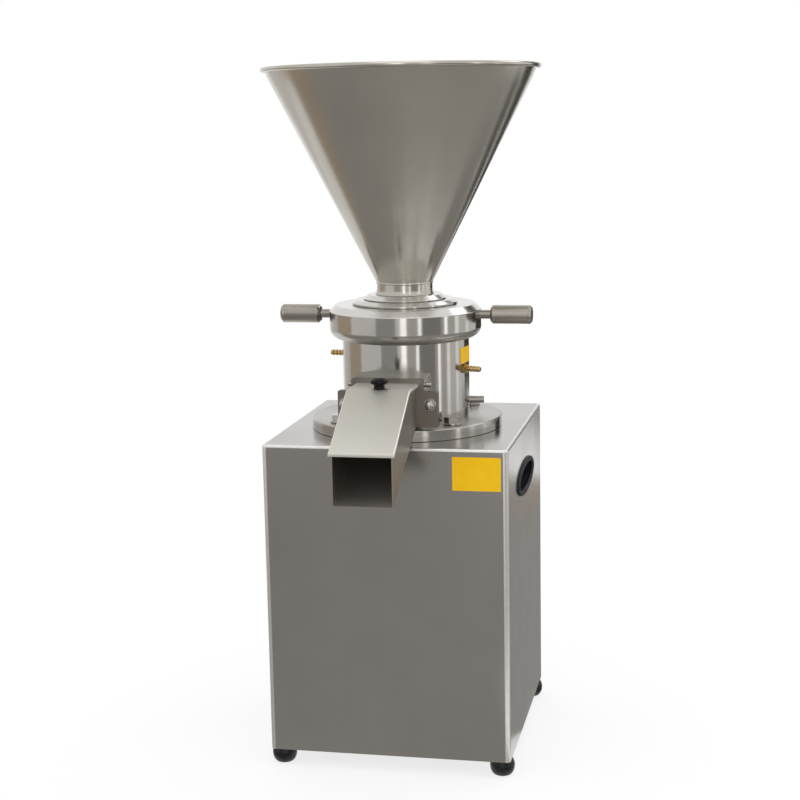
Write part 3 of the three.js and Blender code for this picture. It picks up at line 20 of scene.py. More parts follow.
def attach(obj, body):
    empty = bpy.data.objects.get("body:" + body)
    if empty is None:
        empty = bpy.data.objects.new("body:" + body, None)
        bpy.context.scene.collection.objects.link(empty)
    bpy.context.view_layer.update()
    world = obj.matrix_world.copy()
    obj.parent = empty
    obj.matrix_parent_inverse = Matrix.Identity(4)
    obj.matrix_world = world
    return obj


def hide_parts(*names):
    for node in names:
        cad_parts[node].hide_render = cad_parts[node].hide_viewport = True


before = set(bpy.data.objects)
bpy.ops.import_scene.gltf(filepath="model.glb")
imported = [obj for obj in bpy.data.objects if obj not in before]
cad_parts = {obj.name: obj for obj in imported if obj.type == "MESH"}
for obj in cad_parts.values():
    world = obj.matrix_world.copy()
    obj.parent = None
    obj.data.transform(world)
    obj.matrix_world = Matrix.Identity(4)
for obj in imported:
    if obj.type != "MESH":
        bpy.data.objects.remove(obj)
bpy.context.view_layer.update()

LOG = logging.getLogger("colloid_mill")
MM = 0.001
HEAD_Y = 48.95  # head axis behind the middle of the footprint
CABINET_Y = 12.0  # middle of the cabinet behind the head axis
DECK = 478.0
FLANGE_TOP = 495.0
BODY_TOP = 610.0
BODY_RADIUS = 93.5
RING_BOTTOM = 610.3
RING_TOP = 660.0
RING_LIP = 648.0
CAP_BOTTOM = 660.3
CAP_TOP = 667.2
COLLAR_BOTTOM = 667.5
COLLAR_TOP = 674.5
NECK_BOTTOM = 674.8
CONE_BOTTOM = 692.8
CONE_TOP = 1000.8
OUTLET_FACE = -130.0
CHUTE_PLATE_FACE = -136.0
OUTLET_HALF = 52  # half the width of the outlet box
EAR_HALF = 72  # half the width of the outlet flange with its ears
BORE_HALF = 38  # half the width of the outlet's opening
STUD_X, STUD_Z = 61, 533  # the two studs that hold the chute
HANDLE_Z = 644.0
SEAT_GAP = 0.3  # between faces that sit on each other

FILLET_SHARE = 0.42  # the most of an edge that one fillet takes
NEARLY_STRAIGHT = math.radians(172)
SMALLEST_FILLET = 0.02
SAME_PLACE = 1e-4
CLOUD_RANGE = (0.32, 0.68)  # of a noise, drawn out to the whole drift of a finish
FINE_SHARE = 0.5  # of the fine texture beside the clouds
DRIFT_SCALE = 0.66  # brings both together back to about 0 to 1

Point = tuple[float, float]
Mesh = bpy.types.Mesh
Object = bpy.types.Object
Tree = bpy.types.NodeTree
Socket = bpy.types.NodeSocket
Test = Callable[[Vector, Vector], bool]  # of an edge's middle and direction, or a face's normal and middle


class Operation(Enum):
    """What a boolean does with its tool."""

    JOIN = "UNION"
    CUT = "DIFFERENCE"
    KEEP = "INTERSECT"


class Grain(Enum):
    """Which way the marks of a worked metal surface run."""

    ACROSS = "along X"
    ROUND_HEAD = "round the head's upright axis"
    ROUND_HANDLE = "round the handles' level axis"


# Meshes


def polar(radius: float, degrees: float) -> Point:
    """Gives the point at a radius and an angle."""
    angle = math.radians(degrees)
    return radius * math.cos(angle), radius * math.sin(angle)


def filleted(points: Sequence[Point], radius: float, steps: int = 3, closed: bool = True) -> list[Point]:
    """Rounds the corners of an outline.

    Args:
        points: The outline's corners, in order.
        radius: Wanted fillet radius; it shrinks where an edge is short.
        steps: Straight pieces in each fillet.
        closed: Whether the last corner joins the first.

    Returns:
        The outline with each corner replaced by a short arc.
    """
    result: list[Point] = []
    count = len(points)
    for index, point in enumerate(points):
        if not closed and index in (0, count - 1):
            result.append(point)
            continue
        here = Vector(point)
        before = Vector(points[index - 1]) - here
        after = Vector(points[(index + 1) % count]) - here
        reach = min(radius, FILLET_SHARE * before.length, FILLET_SHARE * after.length)
        straight = min(before.length, after.length) < 1e-6 or before.angle(after) > NEARLY_STRAIGHT
        if straight or reach < SMALLEST_FILLET:
            result.append(point)
            continue
        start, end = here + before.normalized() * reach, here + after.normalized() * reach
        for step in range(steps + 1):
            share = step / steps
            spot = start.lerp(here, share).lerp(here.lerp(end, share), share)
            result.append((spot.x, spot.y))
    return result


def new_object(name: str, data: bpy.types.ID) -> Object:
    """Makes an object and links it to the scene."""
    item = bpy.data.objects.new(name, data)
    bpy.context.scene.collection.objects.link(item)
    return item


def to_mesh(bm: bmesh.types.BMesh) -> Mesh:
    """Merges doubles, turns the faces outward and gives a mesh; the bmesh is used up."""
    bmesh.ops.remove_doubles(bm, verts=bm.verts, dist=SAME_PLACE)
    bmesh.ops.recalc_face_normals(bm, faces=bm.faces)
    mesh = bpy.data.meshes.new("shape")
    bm.to_mesh(mesh)
    bm.free()
    return mesh


def loft(loops: Sequence[Sequence[Vector]]) -> Mesh:
    """Skins a row of closed loops that have the same number of points, and caps both ends."""
    bm = bmesh.new()
    rows = [[bm.verts.new(point) for point in loop] for loop in loops]
    count = len(rows[0])
    for low, high in zip(rows, rows[1:]):
        for i in range(count):
            j = (i + 1) % count
            bm.faces.new((low[i], low[j], high[j], high[i]))
    bm.faces.new(rows[0])
    bm.faces.new(rows[-1])
    return to_mesh(bm)


def lathe(profile: Sequence[Point], facets: int = 128) -> Mesh:
    """Turns a profile of (radius, height) points about Z.

    Args:
        profile: Open if it starts and ends on the axis, otherwise it closes on itself.
        facets: Facets of the whole turn.

    Returns:
        A closed mesh.
    """
    bm = bmesh.new()
    verts = [bm.verts.new((radius, 0, height)) for radius, height in profile]
    edges = [bm.edges.new(pair) for pair in zip(verts, verts[1:])]
    if profile[0][0] > 1e-6:
        edges.append(bm.edges.new((verts[-1], verts[0])))
    bmesh.ops.spin(bm, geom=verts + edges, cent=(0, 0, 0), axis=(0, 0, 1), angle=math.tau,
                   steps=facets, use_merge=True)
    return to_mesh(bm)


def turned(profile: Sequence[Point], radius: float = 0.6, facets: int = 128, steps: int = 3) -> Mesh:
    """Turns a profile whose corners are first rounded."""
    return lathe(filleted(profile, radius, steps, closed=profile[0][0] > 1e-6), facets)


def drill(radius: float, low: float, high: float, facets: int = 32) -> Mesh:
    """Makes a plain upright cylinder, as a cutter."""
    return lathe([(0, low), (radius, low), (radius, high), (0, high)], facets)


def disc(radius: float, low: float, high: float, edge: float = 0.5, facets: int = 48) -> Mesh:
    """Makes a solid disc or rod with rounded edges."""
    return turned([(0, low), (radius, low), (radius, high), (0, high)], edge, facets)


def tube(bore: float, radius: float, low: float, high: float, edge: float, facets: int) -> Mesh:
    """Makes a washer or pipe with rounded edges."""
    return turned([(bore, low), (radius, low), (radius, high), (bore, high)], edge, facets)


def hexagon(flats: float, low: float, high: float, bore: float = 0.0) -> Mesh:
    """Makes a hexagon nut blank whose corners are turned down at 30 degrees, as on real nuts.

    Args:
        flats: Distance across the flats.
        low: Height of its underside.
        high: Height of its top.
        bore: Radius of its hole, or 0 for none.

    Returns:
        A closed mesh.
    """
    corner, crown = flats / math.sqrt(3), flats / 2 * 0.97
    blank = loft([[Vector((*polar(corner, 60 * i), z)) for i in range(6)] for z in (low, high)])
    fall = (corner - flats / 2) * 1.1 * math.tan(math.radians(30))
    past = corner * 1.02
    cone = [(0, low - 1), (past, low - 1), (past, high - fall), (crown, high), (0, high)]
    nut = combine(blank, Operation.KEEP, lathe(cone, 36))
    if bore:
        nut = combine(nut, Operation.CUT, drill(bore, low - 2, high + 2))
    return nut


def block(xs: Point, ys: Point, zs: Point) -> Mesh:
    """Makes a plain block between two corners, mostly as a cutter."""
    corners = [(xs[0], ys[0]), (xs[1], ys[0]), (xs[1], ys[1]), (xs[0], ys[1])]
    return loft([[Vector((x, y, z)) for x, y in corners] for z in zs])


def prism(outline: Sequence[Point], width: float, axis: str = "X") -> Mesh:
    """Extrudes an outline across its middle plane.

    Args:
        outline: Points of (y, z) for axis X, (x, z) for axis Y, or (x, y) for axis Z.
        width: The whole thickness.
        axis: The direction of the extrusion.

    Returns:
        A closed mesh.
    """
    def spot(a: float, b: float, depth: float) -> Vector:
        """Puts an outline point at a depth along the axis."""
        return {"X": Vector((depth, a, b)), "Y": Vector((a, depth, b)), "Z": Vector((a, b, depth))}[axis]

    return loft([[spot(*point, depth) for point in outline] for depth in (-width / 2, width / 2)])


def moved(mesh: Mesh, matrix: Matrix) -> Mesh:
    """Moves a mesh and gives it back."""
    mesh.transform(matrix)
    return mesh


def shifted(mesh: Mesh, x: float = 0, y: float = 0, z: float = 0) -> Mesh:
    """Shifts a mesh."""
    return moved(mesh, Matrix.Translation((x, y, z)))


def aimed(mesh: Mesh, direction: Sequence[float]) -> Mesh:
    """Turns a shape made along Z so that its top points in a direction."""
    return moved(mesh, Vector((0, 0, 1)).rotation_difference(Vector(direction)).to_matrix().to_4x4())


def rotated(mesh: Mesh, degrees: float, axis: str = "Z") -> Mesh:
    """Turns a mesh about an axis through the origin, which is the head axis for Z."""
    return moved(mesh, Matrix.Rotation(math.radians(degrees), 4, axis))


def modified(mesh: Mesh, kind: str, inputs: dict | None = None, **settings) -> Mesh:
    """Runs one modifier on a mesh and gives the plain result.

    Args:
        mesh: The mesh to work on; it is used up.
        kind: The modifier's type.
        inputs: Values of a node tree's inputs, by identifier.
        **settings: The modifier's own properties.

    Returns:
        The resulting mesh.
    """
    worker = new_object("worker", mesh)
    modifier = worker.modifiers.new(kind, kind)
    for name, value in settings.items():
        setattr(modifier, name, value)
    for name, value in (inputs or {}).items():
        modifier[name] = value
    result = bpy.data.meshes.new_from_object(worker.evaluated_get(bpy.context.evaluated_depsgraph_get()))
    bpy.data.objects.remove(worker)
    bpy.data.meshes.remove(mesh)
    return result


def combine(base: Mesh, operation: Operation, *tools: Mesh) -> Mesh:
    """Joins a mesh with each tool in turn, cuts it, or keeps what both hold; the tools are used up."""
    for tool in tools:
        helper = new_object("tool", tool)
        base = modified(base, "BOOLEAN", operation=operation.value, solver="EXACT", object=helper)
        bpy.data.objects.remove(helper)
        bpy.data.meshes.remove(tool)
    return base


def merged(*meshes: Mesh) -> Mesh:
    """Puts separate closed shells into one mesh."""
    bm = bmesh.new()
    for mesh in meshes:
        bm.from_mesh(mesh)
        bpy.data.meshes.remove(mesh)
    result = bpy.data.meshes.new("merged")
    bm.to_mesh(result)
    bm.free()
    return result


def eased(mesh: Mesh, width: float) -> Mesh:
    """Rounds every sharp edge, as deburring does."""
    return modified(mesh, "BEVEL", width=width, segments=3, limit_method="ANGLE",
                    angle_limit=math.radians(35), use_clamp_overlap=True)


def bend_edges(mesh: Mesh, chosen: Test, radius: float, segments: int = 5) -> Mesh:
    """Rounds chosen edges, as a press brake bends sheet.

    Args:
        mesh: The mesh to work on.
        chosen: A test that takes the edge's middle and its direction.
        radius: Bend radius.
        segments: Facets of the bend.

    Returns:
        The same mesh with those edges rounded.
    """
    bm = bmesh.new()
    bm.from_mesh(mesh)
    edges = []
    for edge in bm.edges:
        start, end = (vert.co for vert in edge.verts)
        if chosen((start + end) / 2, (end - start).normalized()):
            edges.append(edge)
    bmesh.ops.bevel(bm, geom=edges, offset=radius, segments=segments, affect="EDGES", profile=0.5,
                    clamp_overlap=True)
    bm.to_mesh(mesh)
    bm.free()
    return mesh


# Nodes


def emptied(owner: bpy.types.Material | bpy.types.World) -> Tree:
    """Turns on a material's or world's nodes and empties its tree."""
    owner.use_nodes = True
    owner.node_tree.nodes.clear()
    return owner.node_tree


def add_node(tree: Tree, kind: str, inputs: dict | None = None, **settings) -> bpy.types.Node:
    """Adds a node with its settings, values and links.

    Args:
        tree: The tree that gets the node.
        kind: The node's type name.
        inputs: Input name or number to a value, or to the socket that feeds it.
        **settings: The node's own properties.

    Returns:
        The new node.
    """
    node = tree.nodes.new(kind)
    for name, value in settings.items():
        setattr(node, name, value)
    for name, value in (inputs or {}).items():
        if isinstance(value, bpy.types.NodeSocket):
            tree.links.new(value, node.inputs[name])
        else:
            node.inputs[name].default_value = value
    return node


def maths(tree: Tree, operation: str, *values: Socket | float) -> Socket:
    """Works on numbers."""
    return add_node(tree, "ShaderNodeMath", dict(enumerate(values)), operation=operation).outputs[0]


def vectors(tree: Tree, operation: str, *values: Socket | Sequence[float]) -> Socket:
    """Works on vectors, of which two at most are given."""
    return add_node(tree, "ShaderNodeVectorMath", dict(enumerate(values)), operation=operation).outputs[0]


def scaled(tree: Tree, vector: Socket, scale: Socket | float) -> Socket:
    """Multiplies a vector by a number."""
    return add_node(tree, "ShaderNodeVectorMath", {0: vector, "Scale": scale}, operation="SCALE").outputs[0]


def split(tree: Tree, vector: Socket) -> list[Socket]:
    """Splits a vector into its three numbers."""
    return add_node(tree, "ShaderNodeSeparateXYZ", {0: vector}).outputs[:]


def joined(tree: Tree, **parts: Socket | float) -> Socket:
    """Joins X, Y and Z into a vector; a part that isn't given is 0."""
    return add_node(tree, "ShaderNodeCombineXYZ", parts).outputs[0]


def mapped(tree: Tree, value: Socket, start: float, end: float, low: float = 0, high: float = 1) -> Socket:
    """Maps the range from start to end onto the range from low to high, and clamps it there."""
    return add_node(tree, "ShaderNodeMapRange", {
        "Value": value, "From Min": start, "From Max": end, "To Min": low, "To Max": high}).outputs[0]


def mixed(tree: Tree, share: Socket, first: Sequence[float], second: Sequence[float]) -> Socket:
    """Mixes two colours."""
    mix = add_node(tree, "ShaderNodeMix", {"Factor": share, 6: first, 7: second}, data_type="RGBA")
    return mix.outputs[2]


def noise(tree: Tree, vector: Socket, scale: float, detail: float, roughness: float) -> Socket:
    """Gives a noise of about 0 to 1."""
    return add_node(tree, "ShaderNodeTexNoise", {
        "Vector": vector, "Scale": scale, "Detail": detail, "Roughness": roughness}).outputs["Fac"]


class Repeat:
    """A Geometry Nodes tree that repeats or shapes one mesh, with named inputs."""

    def __init__(self, name: str) -> None:
        """Starts a tree with a geometry input, a material input and a geometry output."""
        self.tree = bpy.data.node_groups.new(name, "GeometryNodeTree")
        self.sockets: dict[str, str] = {}
        face = self.tree.interface
        face.new_socket(name="Geometry", in_out="INPUT", socket_type="NodeSocketGeometry")
        face.new_socket(name="Geometry", in_out="OUTPUT", socket_type="NodeSocketGeometry")
        self.entry = self.tree.nodes.new("NodeGroupInput")
        self.value("Material", "Material")

    def value(self, name: str, kind: str = "Float") -> Socket:
        """Declares a named input and gives its socket inside the tree."""
        socket = self.tree.interface.new_socket(name=name, in_out="INPUT", socket_type=f"NodeSocket{kind}")
        self.sockets[name] = socket.identifier
        return self.entry.outputs[name]

    def copies(self, points: Socket, turn: Socket | Sequence[float] = (0, 0, 0)) -> None:
        """Puts the piece on each point and ends the tree."""
        placed = add_node(self.tree, "GeometryNodeInstanceOnPoints", {
            "Points": points, "Instance": self.entry.outputs["Geometry"], "Rotation": turn})
        self.close(placed.outputs[0])

    def close(self, geometry: Socket) -> None:
        """Ends the tree in Realize Instances and Set Material."""
        real = add_node(self.tree, "GeometryNodeRealizeInstances", {"Geometry": geometry})
        dressed = add_node(self.tree, "GeometryNodeSetMaterial",
                           {"Geometry": real.outputs[0], "Material": self.entry.outputs["Material"]})
        add_node(self.tree, "NodeGroupOutput", {0: dressed.outputs[0]})

    def run(self, mesh: Mesh, finish: Finish, **values) -> Mesh:
        """Runs the tree on a mesh.

        Args:
            mesh: The geometry that goes in.
            finish: The finish that the result gets.
            **values: The named inputs.

        Returns:
            A plain mesh.
        """
        values["Material"] = finish.material()
        inputs = {self.sockets[name]: value for name, value in values.items()}
        return modified(mesh, "NODES", inputs, node_group=self.tree)


def circle_repeat() -> Repeat:
    """Repeats a piece on a circle round the head axis, each copy turned to face outward."""
    repeat = Repeat("Repeat on a circle")
    tree = repeat.tree
    radius, count, start = repeat.value("Radius"), repeat.value("Count", "Int"), repeat.value("Start")
    line = add_node(tree, "GeometryNodeMeshLine", {"Count": count, "Offset": (0, 0, 0)})
    index = add_node(tree, "GeometryNodeInputIndex").outputs[0]
    angle = maths(tree, "MULTIPLY_ADD", index, maths(tree, "DIVIDE", math.tau, count), start)
    turn = joined(tree, Z=angle)
    spot = add_node(tree, "ShaderNodeVectorRotate", {"Vector": joined(tree, X=radius), "Rotation": turn},
                    rotation_type="EULER_XYZ")
    placed = add_node(tree, "GeometryNodeSetPosition",
                      {"Geometry": line.outputs[0], "Position": spot.outputs[0]})
    repeat.copies(placed.outputs[0], turn)
    return repeat


def grid_repeat() -> Repeat:
    """Repeats a piece on a grid in the X-Y plane of its own mesh."""
    repeat = Repeat("Repeat on a grid")
    wide, deep = repeat.value("Width"), repeat.value("Depth")
    columns, rows = repeat.value("Columns", "Int"), repeat.value("Rows", "Int")
    grid = add_node(repeat.tree, "GeometryNodeMeshGrid", {
        "Size X": wide, "Size Y": deep, "Vertices X": columns, "Vertices Y": rows})
    repeat.copies(grid.outputs["Mesh"])
    return repeat


def knurl_shape() -> Repeat:
    """Presses a diamond knurl into a fine cylinder that stands on Z."""
    knurl = Repeat("Diamond knurl")
    tree = knurl.tree
    pitches, pitch = knurl.value("Pitches", "Int"), knurl.value("Pitch")
    depth, low, high = knurl.value("Depth"), knurl.value("Low"), knurl.value("High")
    x, y, z = split(tree, add_node(tree, "GeometryNodeInputPosition").outputs[0])
    share = maths(tree, "MULTIPLY", maths(tree, "ARCTAN2", y, x), 1 / math.tau)
    around = maths(tree, "MULTIPLY", share, pitches)
    along = maths(tree, "DIVIDE", z, pitch)
    waves = [maths(tree, "PINGPONG", maths(tree, kind, around, along), 1.0) for kind in ("ADD", "SUBTRACT")]
    dip = maths(tree, "SUBTRACT", maths(tree, "MINIMUM", *waves), 1.0)
    inside = maths(tree, "MULTIPLY", maths(tree, "GREATER_THAN", z, low), maths(tree, "LESS_THAN", z, high))
    held = maths(tree, "MULTIPLY", maths(tree, "MULTIPLY", dip, depth), inside)
    outward = vectors(tree, "NORMALIZE", joined(tree, X=x, Y=y))
    shaped = add_node(tree, "GeometryNodeSetPosition", {
        "Geometry": knurl.entry.outputs["Geometry"], "Offset": scaled(tree, outward, held)})
    knurl.close(shaped.outputs[0])
    return knurl


# Materials


def linear(code: str) -> tuple[float, float, float, float]:
    """Turns an sRGB hex colour to linear light."""
    shares = [int(code[i:i + 2], 16) / 255 for i in (1, 3, 5)]
    return (*[s / 12.92 if s <= 0.04045 else ((s + 0.055) / 1.055) ** 2.4 for s in shares], 1.0)


def from_head(tree: Tree, place: Socket) -> Socket:
    """Measures a place from the head axis."""
    return vectors(tree, "SUBTRACT", place, (0, HEAD_Y * MM, 0))


@dataclass(frozen=True)
class Finish:
    """A finish with soft clouds of colour and roughness over a fine texture.

    Attributes:
        name: What a maker calls it.
        colour: sRGB hex colour.
        second: sRGB hex colour that the clouds drift to.
        roughness: Mean roughness.
        spread: How far roughness drifts either way.
        metallic: 1 for metal, 0 for the rest.
        texture_mm: Size of the fine texture.
        relief_mm: Height of the fine texture.
        cloud_mm: Size of the soft clouds.
        specular: Share of a plain plastic's mirror light, 0.5 being all of it.
    """

    name: str
    colour: str
    second: str
    roughness: float
    spread: float = 0.05
    metallic: float = 0.0
    texture_mm: float = 0.7
    relief_mm: float = 0.01
    cloud_mm: float = 20.0
    specular: float = 0.5

    def texture(self, tree: Tree, place: Socket) -> Socket:
        """Gives the fine texture, about 0 to 1."""
        return noise(tree, place, 1 / (self.texture_mm * MM), 3.0, 0.6)

    def extras(self, tree: Tree, shader: bpy.types.Node) -> None:
        """Adds what a special finish has; a plain one has nothing more."""

    def material(self) -> bpy.types.Material:
        """Builds the material once and gives it again later."""
        if self.name in bpy.data.materials:
            return bpy.data.materials[self.name]
        material = bpy.data.materials.new(self.name)
        tree = emptied(material)
        place = add_node(tree, "ShaderNodeTexCoord").outputs["Object"]
        fine = self.texture(tree, place)
        clouds = mapped(tree, noise(tree, place, 1 / (self.cloud_mm * MM), 4.0, 0.55), *CLOUD_RANGE)
        share = maths(tree, "MULTIPLY", maths(tree, "MULTIPLY_ADD", fine, FINE_SHARE, clouds), DRIFT_SCALE)
        rough = mapped(tree, share, 0, 1, self.roughness - self.spread, self.roughness + self.spread)
        bump = add_node(tree, "ShaderNodeBump", {
            "Height": fine, "Distance": self.relief_mm * MM, "Strength": 1.0})
        shader = add_node(tree, "ShaderNodeBsdfPrincipled", {
            "Base Color": mixed(tree, share, linear(self.colour), linear(self.second)), "Roughness": rough,
            "Metallic": self.metallic, "Specular IOR Level": self.specular, "Normal": bump.outputs[0]})
        self.extras(tree, shader)
        add_node(tree, "ShaderNodeOutputMaterial", {"Surface": shader.outputs[0]})
        return material


@dataclass(frozen=True)
class WorkedMetal(Finish):
    """A metal with brushing or lathe marks in one direction.

    Attributes:
        grain: Which way the marks run.
        anisotropy: How far highlights are drawn out across the marks.
        facing: How much rougher level faces are, cut across the work, than its sides.
        mark_mm: Spacing of the marks. Real ones are a tenth of this; these are as coarse as a render needs.
        mark_length_mm: Length of one mark.
    """

    spread: float = 0.03
    metallic: float = 1.0
    relief_mm: float = 0.003
    cloud_mm: float = 90.0
    grain: Grain = Grain.ACROSS
    anisotropy: float = 0.3
    facing: float = 0.0
    mark_mm: float = 1.0
    mark_length_mm: float = 40.0

    def texture(self, tree: Tree, place: Socket) -> Socket:
        """Gives streaks along the grain."""
        fine, long = 1 / (self.mark_mm * MM), 1 / (self.mark_length_mm * MM)
        if self.grain is Grain.ROUND_HEAD:
            x, y, z = split(tree, from_head(tree, place))
            flat = joined(tree, X=x, Y=y)
            radius = add_node(tree, "ShaderNodeVectorMath", {0: flat}, operation="LENGTH").outputs["Value"]
            across = scaled(tree, joined(tree, X=radius, Z=z), fine)
            vector = vectors(tree, "ADD", across, scaled(tree, flat, long))
        else:
            scale = (long, fine, fine) if self.grain is Grain.ACROSS else (fine, long, long)
            vector = add_node(tree, "ShaderNodeMapping", {"Vector": place, "Scale": scale}).outputs[0]
        return noise(tree, vector, 1.0, 2.0, 0.7)

    def extras(self, tree: Tree, shader: bpy.types.Node) -> None:
        """Draws the highlights out across the marks, and roughens level faces."""
        shader.inputs["Anisotropic"].default_value = self.anisotropy
        geometry = add_node(tree, "ShaderNodeNewGeometry")
        normal = geometry.outputs["Normal"]
        if self.facing:
            level = maths(tree, "ABSOLUTE", split(tree, normal)[2])
            even = shader.inputs["Roughness"].links[0].from_socket
            tree.links.new(maths(tree, "MULTIPLY_ADD", level, self.facing, even), shader.inputs["Roughness"])
        if self.grain is Grain.ROUND_HEAD:
            along = vectors(tree, "CROSS_PRODUCT", (0, 0, 1), from_head(tree, geometry.outputs["Position"]))
        elif self.grain is Grain.ACROSS:
            along = joined(tree, X=1.0, Y=0.001)
        else:
            along = joined(tree, Y=1.0, Z=0.3)
        tree.links.new(vectors(tree, "CROSS_PRODUCT", normal, along), shader.inputs["Tangent"])


@dataclass(frozen=True)
class Coated(Finish):
    """A moulded or painted finish with a clear skin over it.

    Attributes:
        coat: Weight of the skin.
    """

    coat: float = 0.3

    def extras(self, tree: Tree, shader: bpy.types.Node) -> None:
        """Adds the skin's gloss."""
        shader.inputs["Coat Weight"].default_value = self.coat
        shader.inputs["Coat Roughness"].default_value = 0.12


# Hairline stainless sheet: long fine scratches along the sheet give a soft grey sheen
HAIRLINE_STEEL = WorkedMetal("Hairline stainless sheet", "#b0ada9", "#a8a5a1", 0.18,
                             anisotropy=0.5, mark_mm=1.1, mark_length_mm=70)
# The same sheet on its folds, made much brighter along the bend as a painted highlight
FOLD_HIGHLIGHT_STEEL = Finish("Painted highlight on stainless folds", "#e6e3e1", "#dad7d5", 0.34, 0.03, 1.0,
                      texture_mm=4.0, relief_mm=0.0, cloud_mm=10)
# Satin stainless sheet of the chute: paler and duller, with a short brushing
SATIN_STEEL = WorkedMetal("Satin stainless sheet", "#d0cec7", "#c7c4bc", 0.5)
# The same sheet inside the trough, darkened as painted shade, less than its outside
TROUGH_INSIDE_SHADE_STEEL = WorkedMetal("Trough sheet with painted inside shade", "#b6b1a9", "#aca79f", 0.45)
# The same sheet on the trough's outside, darkened as painted shade
SHADED_SHEET_STEEL = WorkedMetal("Trough sheet with painted shade", "#a19b92", "#979188", 0.4, 0.04)
# The chute's plate, darkened as painted shade
PLATE_SHADE_STEEL = WorkedMetal("Steel plate with painted shade", "#88827a", "#7f7971", 0.36, 0.04)
# Spun stainless: polishing marks run round the cone
SPUN_STEEL = WorkedMetal("Spun stainless cone", "#b9b5ac", "#afaba2", 0.22,
                         grain=Grain.ROUND_HEAD, anisotropy=0.5, mark_mm=1.4, mark_length_mm=120)
# Lathe-turned stainless: bright, with fine rings that draw reflections into upright streaks
TURNED_STEEL = WorkedMetal("Turned stainless", "#b4b1ac", "#a7a49f", 0.15, grain=Grain.ROUND_HEAD,
                           anisotropy=0.6, facing=0.2, mark_mm=0.9, mark_length_mm=150)
# The tops and bevels of the turned pieces, painted brighter than their sides as painted light from above
TOP_LIGHT_STEEL = WorkedMetal("Turned stainless with painted top light", "#d6d4cf", "#cac8c3", 0.2,
                          grain=Grain.ROUND_HEAD, anisotropy=0.6, mark_mm=0.9, mark_length_mm=150)
# Turned bar of the handles, a little duller
BAR_STEEL = WorkedMetal("Turned steel bar", "#a39d95", "#958f87", 0.2, 0.04,
                        grain=Grain.ROUND_HANDLE, anisotropy=0.4, mark_mm=0.8, mark_length_mm=30)
# Bright stainless fasteners with crisp small highlights
FASTENER_STEEL = Finish("Bright stainless fastener", "#b9b5af", "#a6a19b", 0.16, 0.05, 1.0,
                        texture_mm=0.6, relief_mm=0.003, cloud_mm=8)
# Warm turned brass
BRASS = Finish("Turned brass", "#c7ac78", "#b3965f", 0.24, 0.05, 1.0,
               texture_mm=0.5, relief_mm=0.003, cloud_mm=10)
# Black rubber with a faint moulded skin and a soft gloss
FOOT_RUBBER = Finish("Moulded black rubber", "#0c0c0d", "#121213", 0.3,
                     texture_mm=0.8, cloud_mm=30, specular=0.36)
# Matt grey-black seal rubber
SEAL_RUBBER = Finish("Nitrile seal rubber", "#1d1d20", "#252527", 0.6, 0.08,
                     texture_mm=0.5, relief_mm=0.02, cloud_mm=30, specular=0.3)
# Black phenolic: nearly black, with small highlights
PHENOLIC = Finish("Moulded black phenolic", "#08080a", "#0d0d10", 0.26, relief_mm=0.006, specular=0.15)
# Black nylon of the side pulls: satin, and greyer where light falls into the bowl
PULL_NYLON = Finish("Moulded black nylon", "#212125", "#27272c", 0.5, specular=0.22)
# Button plastics: clear colours under a thin gloss
GREEN_PLASTIC = Coated("Moulded green plastic", "#1f8a3c", "#1a7a35", 0.3)
RED_PLASTIC = Coated("Moulded red plastic", "#b4201c", "#a01a18", 0.3)
# Paints of the hidden frame and motor: slightly orange-peeled
FRAME_PAINT = Coated("Grey frame primer", "#50565a", "#464b4f", 0.5, 0.08,
                     texture_mm=1.2, relief_mm=0.05, cloud_mm=60, coat=0.1)
MOTOR_PAINT = Coated("Blue-grey motor enamel", "#3e5a6e", "#36505f", 0.38, 0.08,
                     texture_mm=1.5, relief_mm=0.06, cloud_mm=50)
# Motor iron and varnished copper
CORE_IRON = Finish("Laminated core iron", "#55534f", "#464440", 0.5, 0.1, 1.0,
                   texture_mm=0.8, relief_mm=0.05, cloud_mm=30)
WINDING = Finish("Varnished copper winding", "#9a5a34", "#7c4628", 0.35, 0.08, 0.6,
                 texture_mm=0.8, relief_mm=0.1, cloud_mm=12)
# Bare yellow foil with a silky face
YELLOW_FOIL = Coated("Yellow foil plate", "#fdca12", "#f4be0d", 0.5, 0.04,
                     texture_mm=0.6, relief_mm=0.004, cloud_mm=25, specular=0.12, coat=0.02)


# Placing pieces


def place(name: str, mesh: Mesh, finish: Finish, body: str, slot: str,
          nodes: Sequence[str] = (), angle: float = 32) -> Object:
    """Moves a finished piece into the frame's metres, sets its shading and puts it into the scene.

    Args:
        name: The piece's name.
        mesh: Its mesh in head millimetres.
        finish: What it is made of.
        body: The body that it moves with.
        slot: The record's material slot; not used.
        nodes: The frame's nodes that it stands for.
        angle: Edges sharper than this many degrees stay sharp.

    Returns:
        The piece.
    """
    mesh.transform(Matrix.Translation((0, HEAD_Y * MM, 0)) @ Matrix.Scale(MM, 4))
    mesh.shade_smooth()
    mesh.set_sharp_from_angle(angle=math.radians(angle))
    mesh = modified(mesh, "WEIGHTED_NORMAL", keep_sharp=True, weight=60)
    mesh.name = name
    mesh.materials.clear()
    mesh.materials.append(finish.material())
    piece = new_object(name, mesh)
    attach(piece, body)
    if nodes:
        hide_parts(*nodes)
    LOG.info("%s: %d faces on %s", name, len(mesh.polygons), body)
    return piece


def refinish(piece: Object, finish: Finish, chosen: Test) -> None:
    """Gives some faces of a piece another finish.

    Args:
        piece: The piece.
        finish: The finish of those faces.
        chosen: A test of a face's normal and of its middle, in head millimetres, that picks them.
    """
    piece.data.materials.append(finish.material())
    last = len(piece.data.materials) - 1
    for face in piece.data.polygons:
        if chosen(face.normal, face.center / MM - Vector((0, HEAD_Y, 0))):
            face.material_index = last


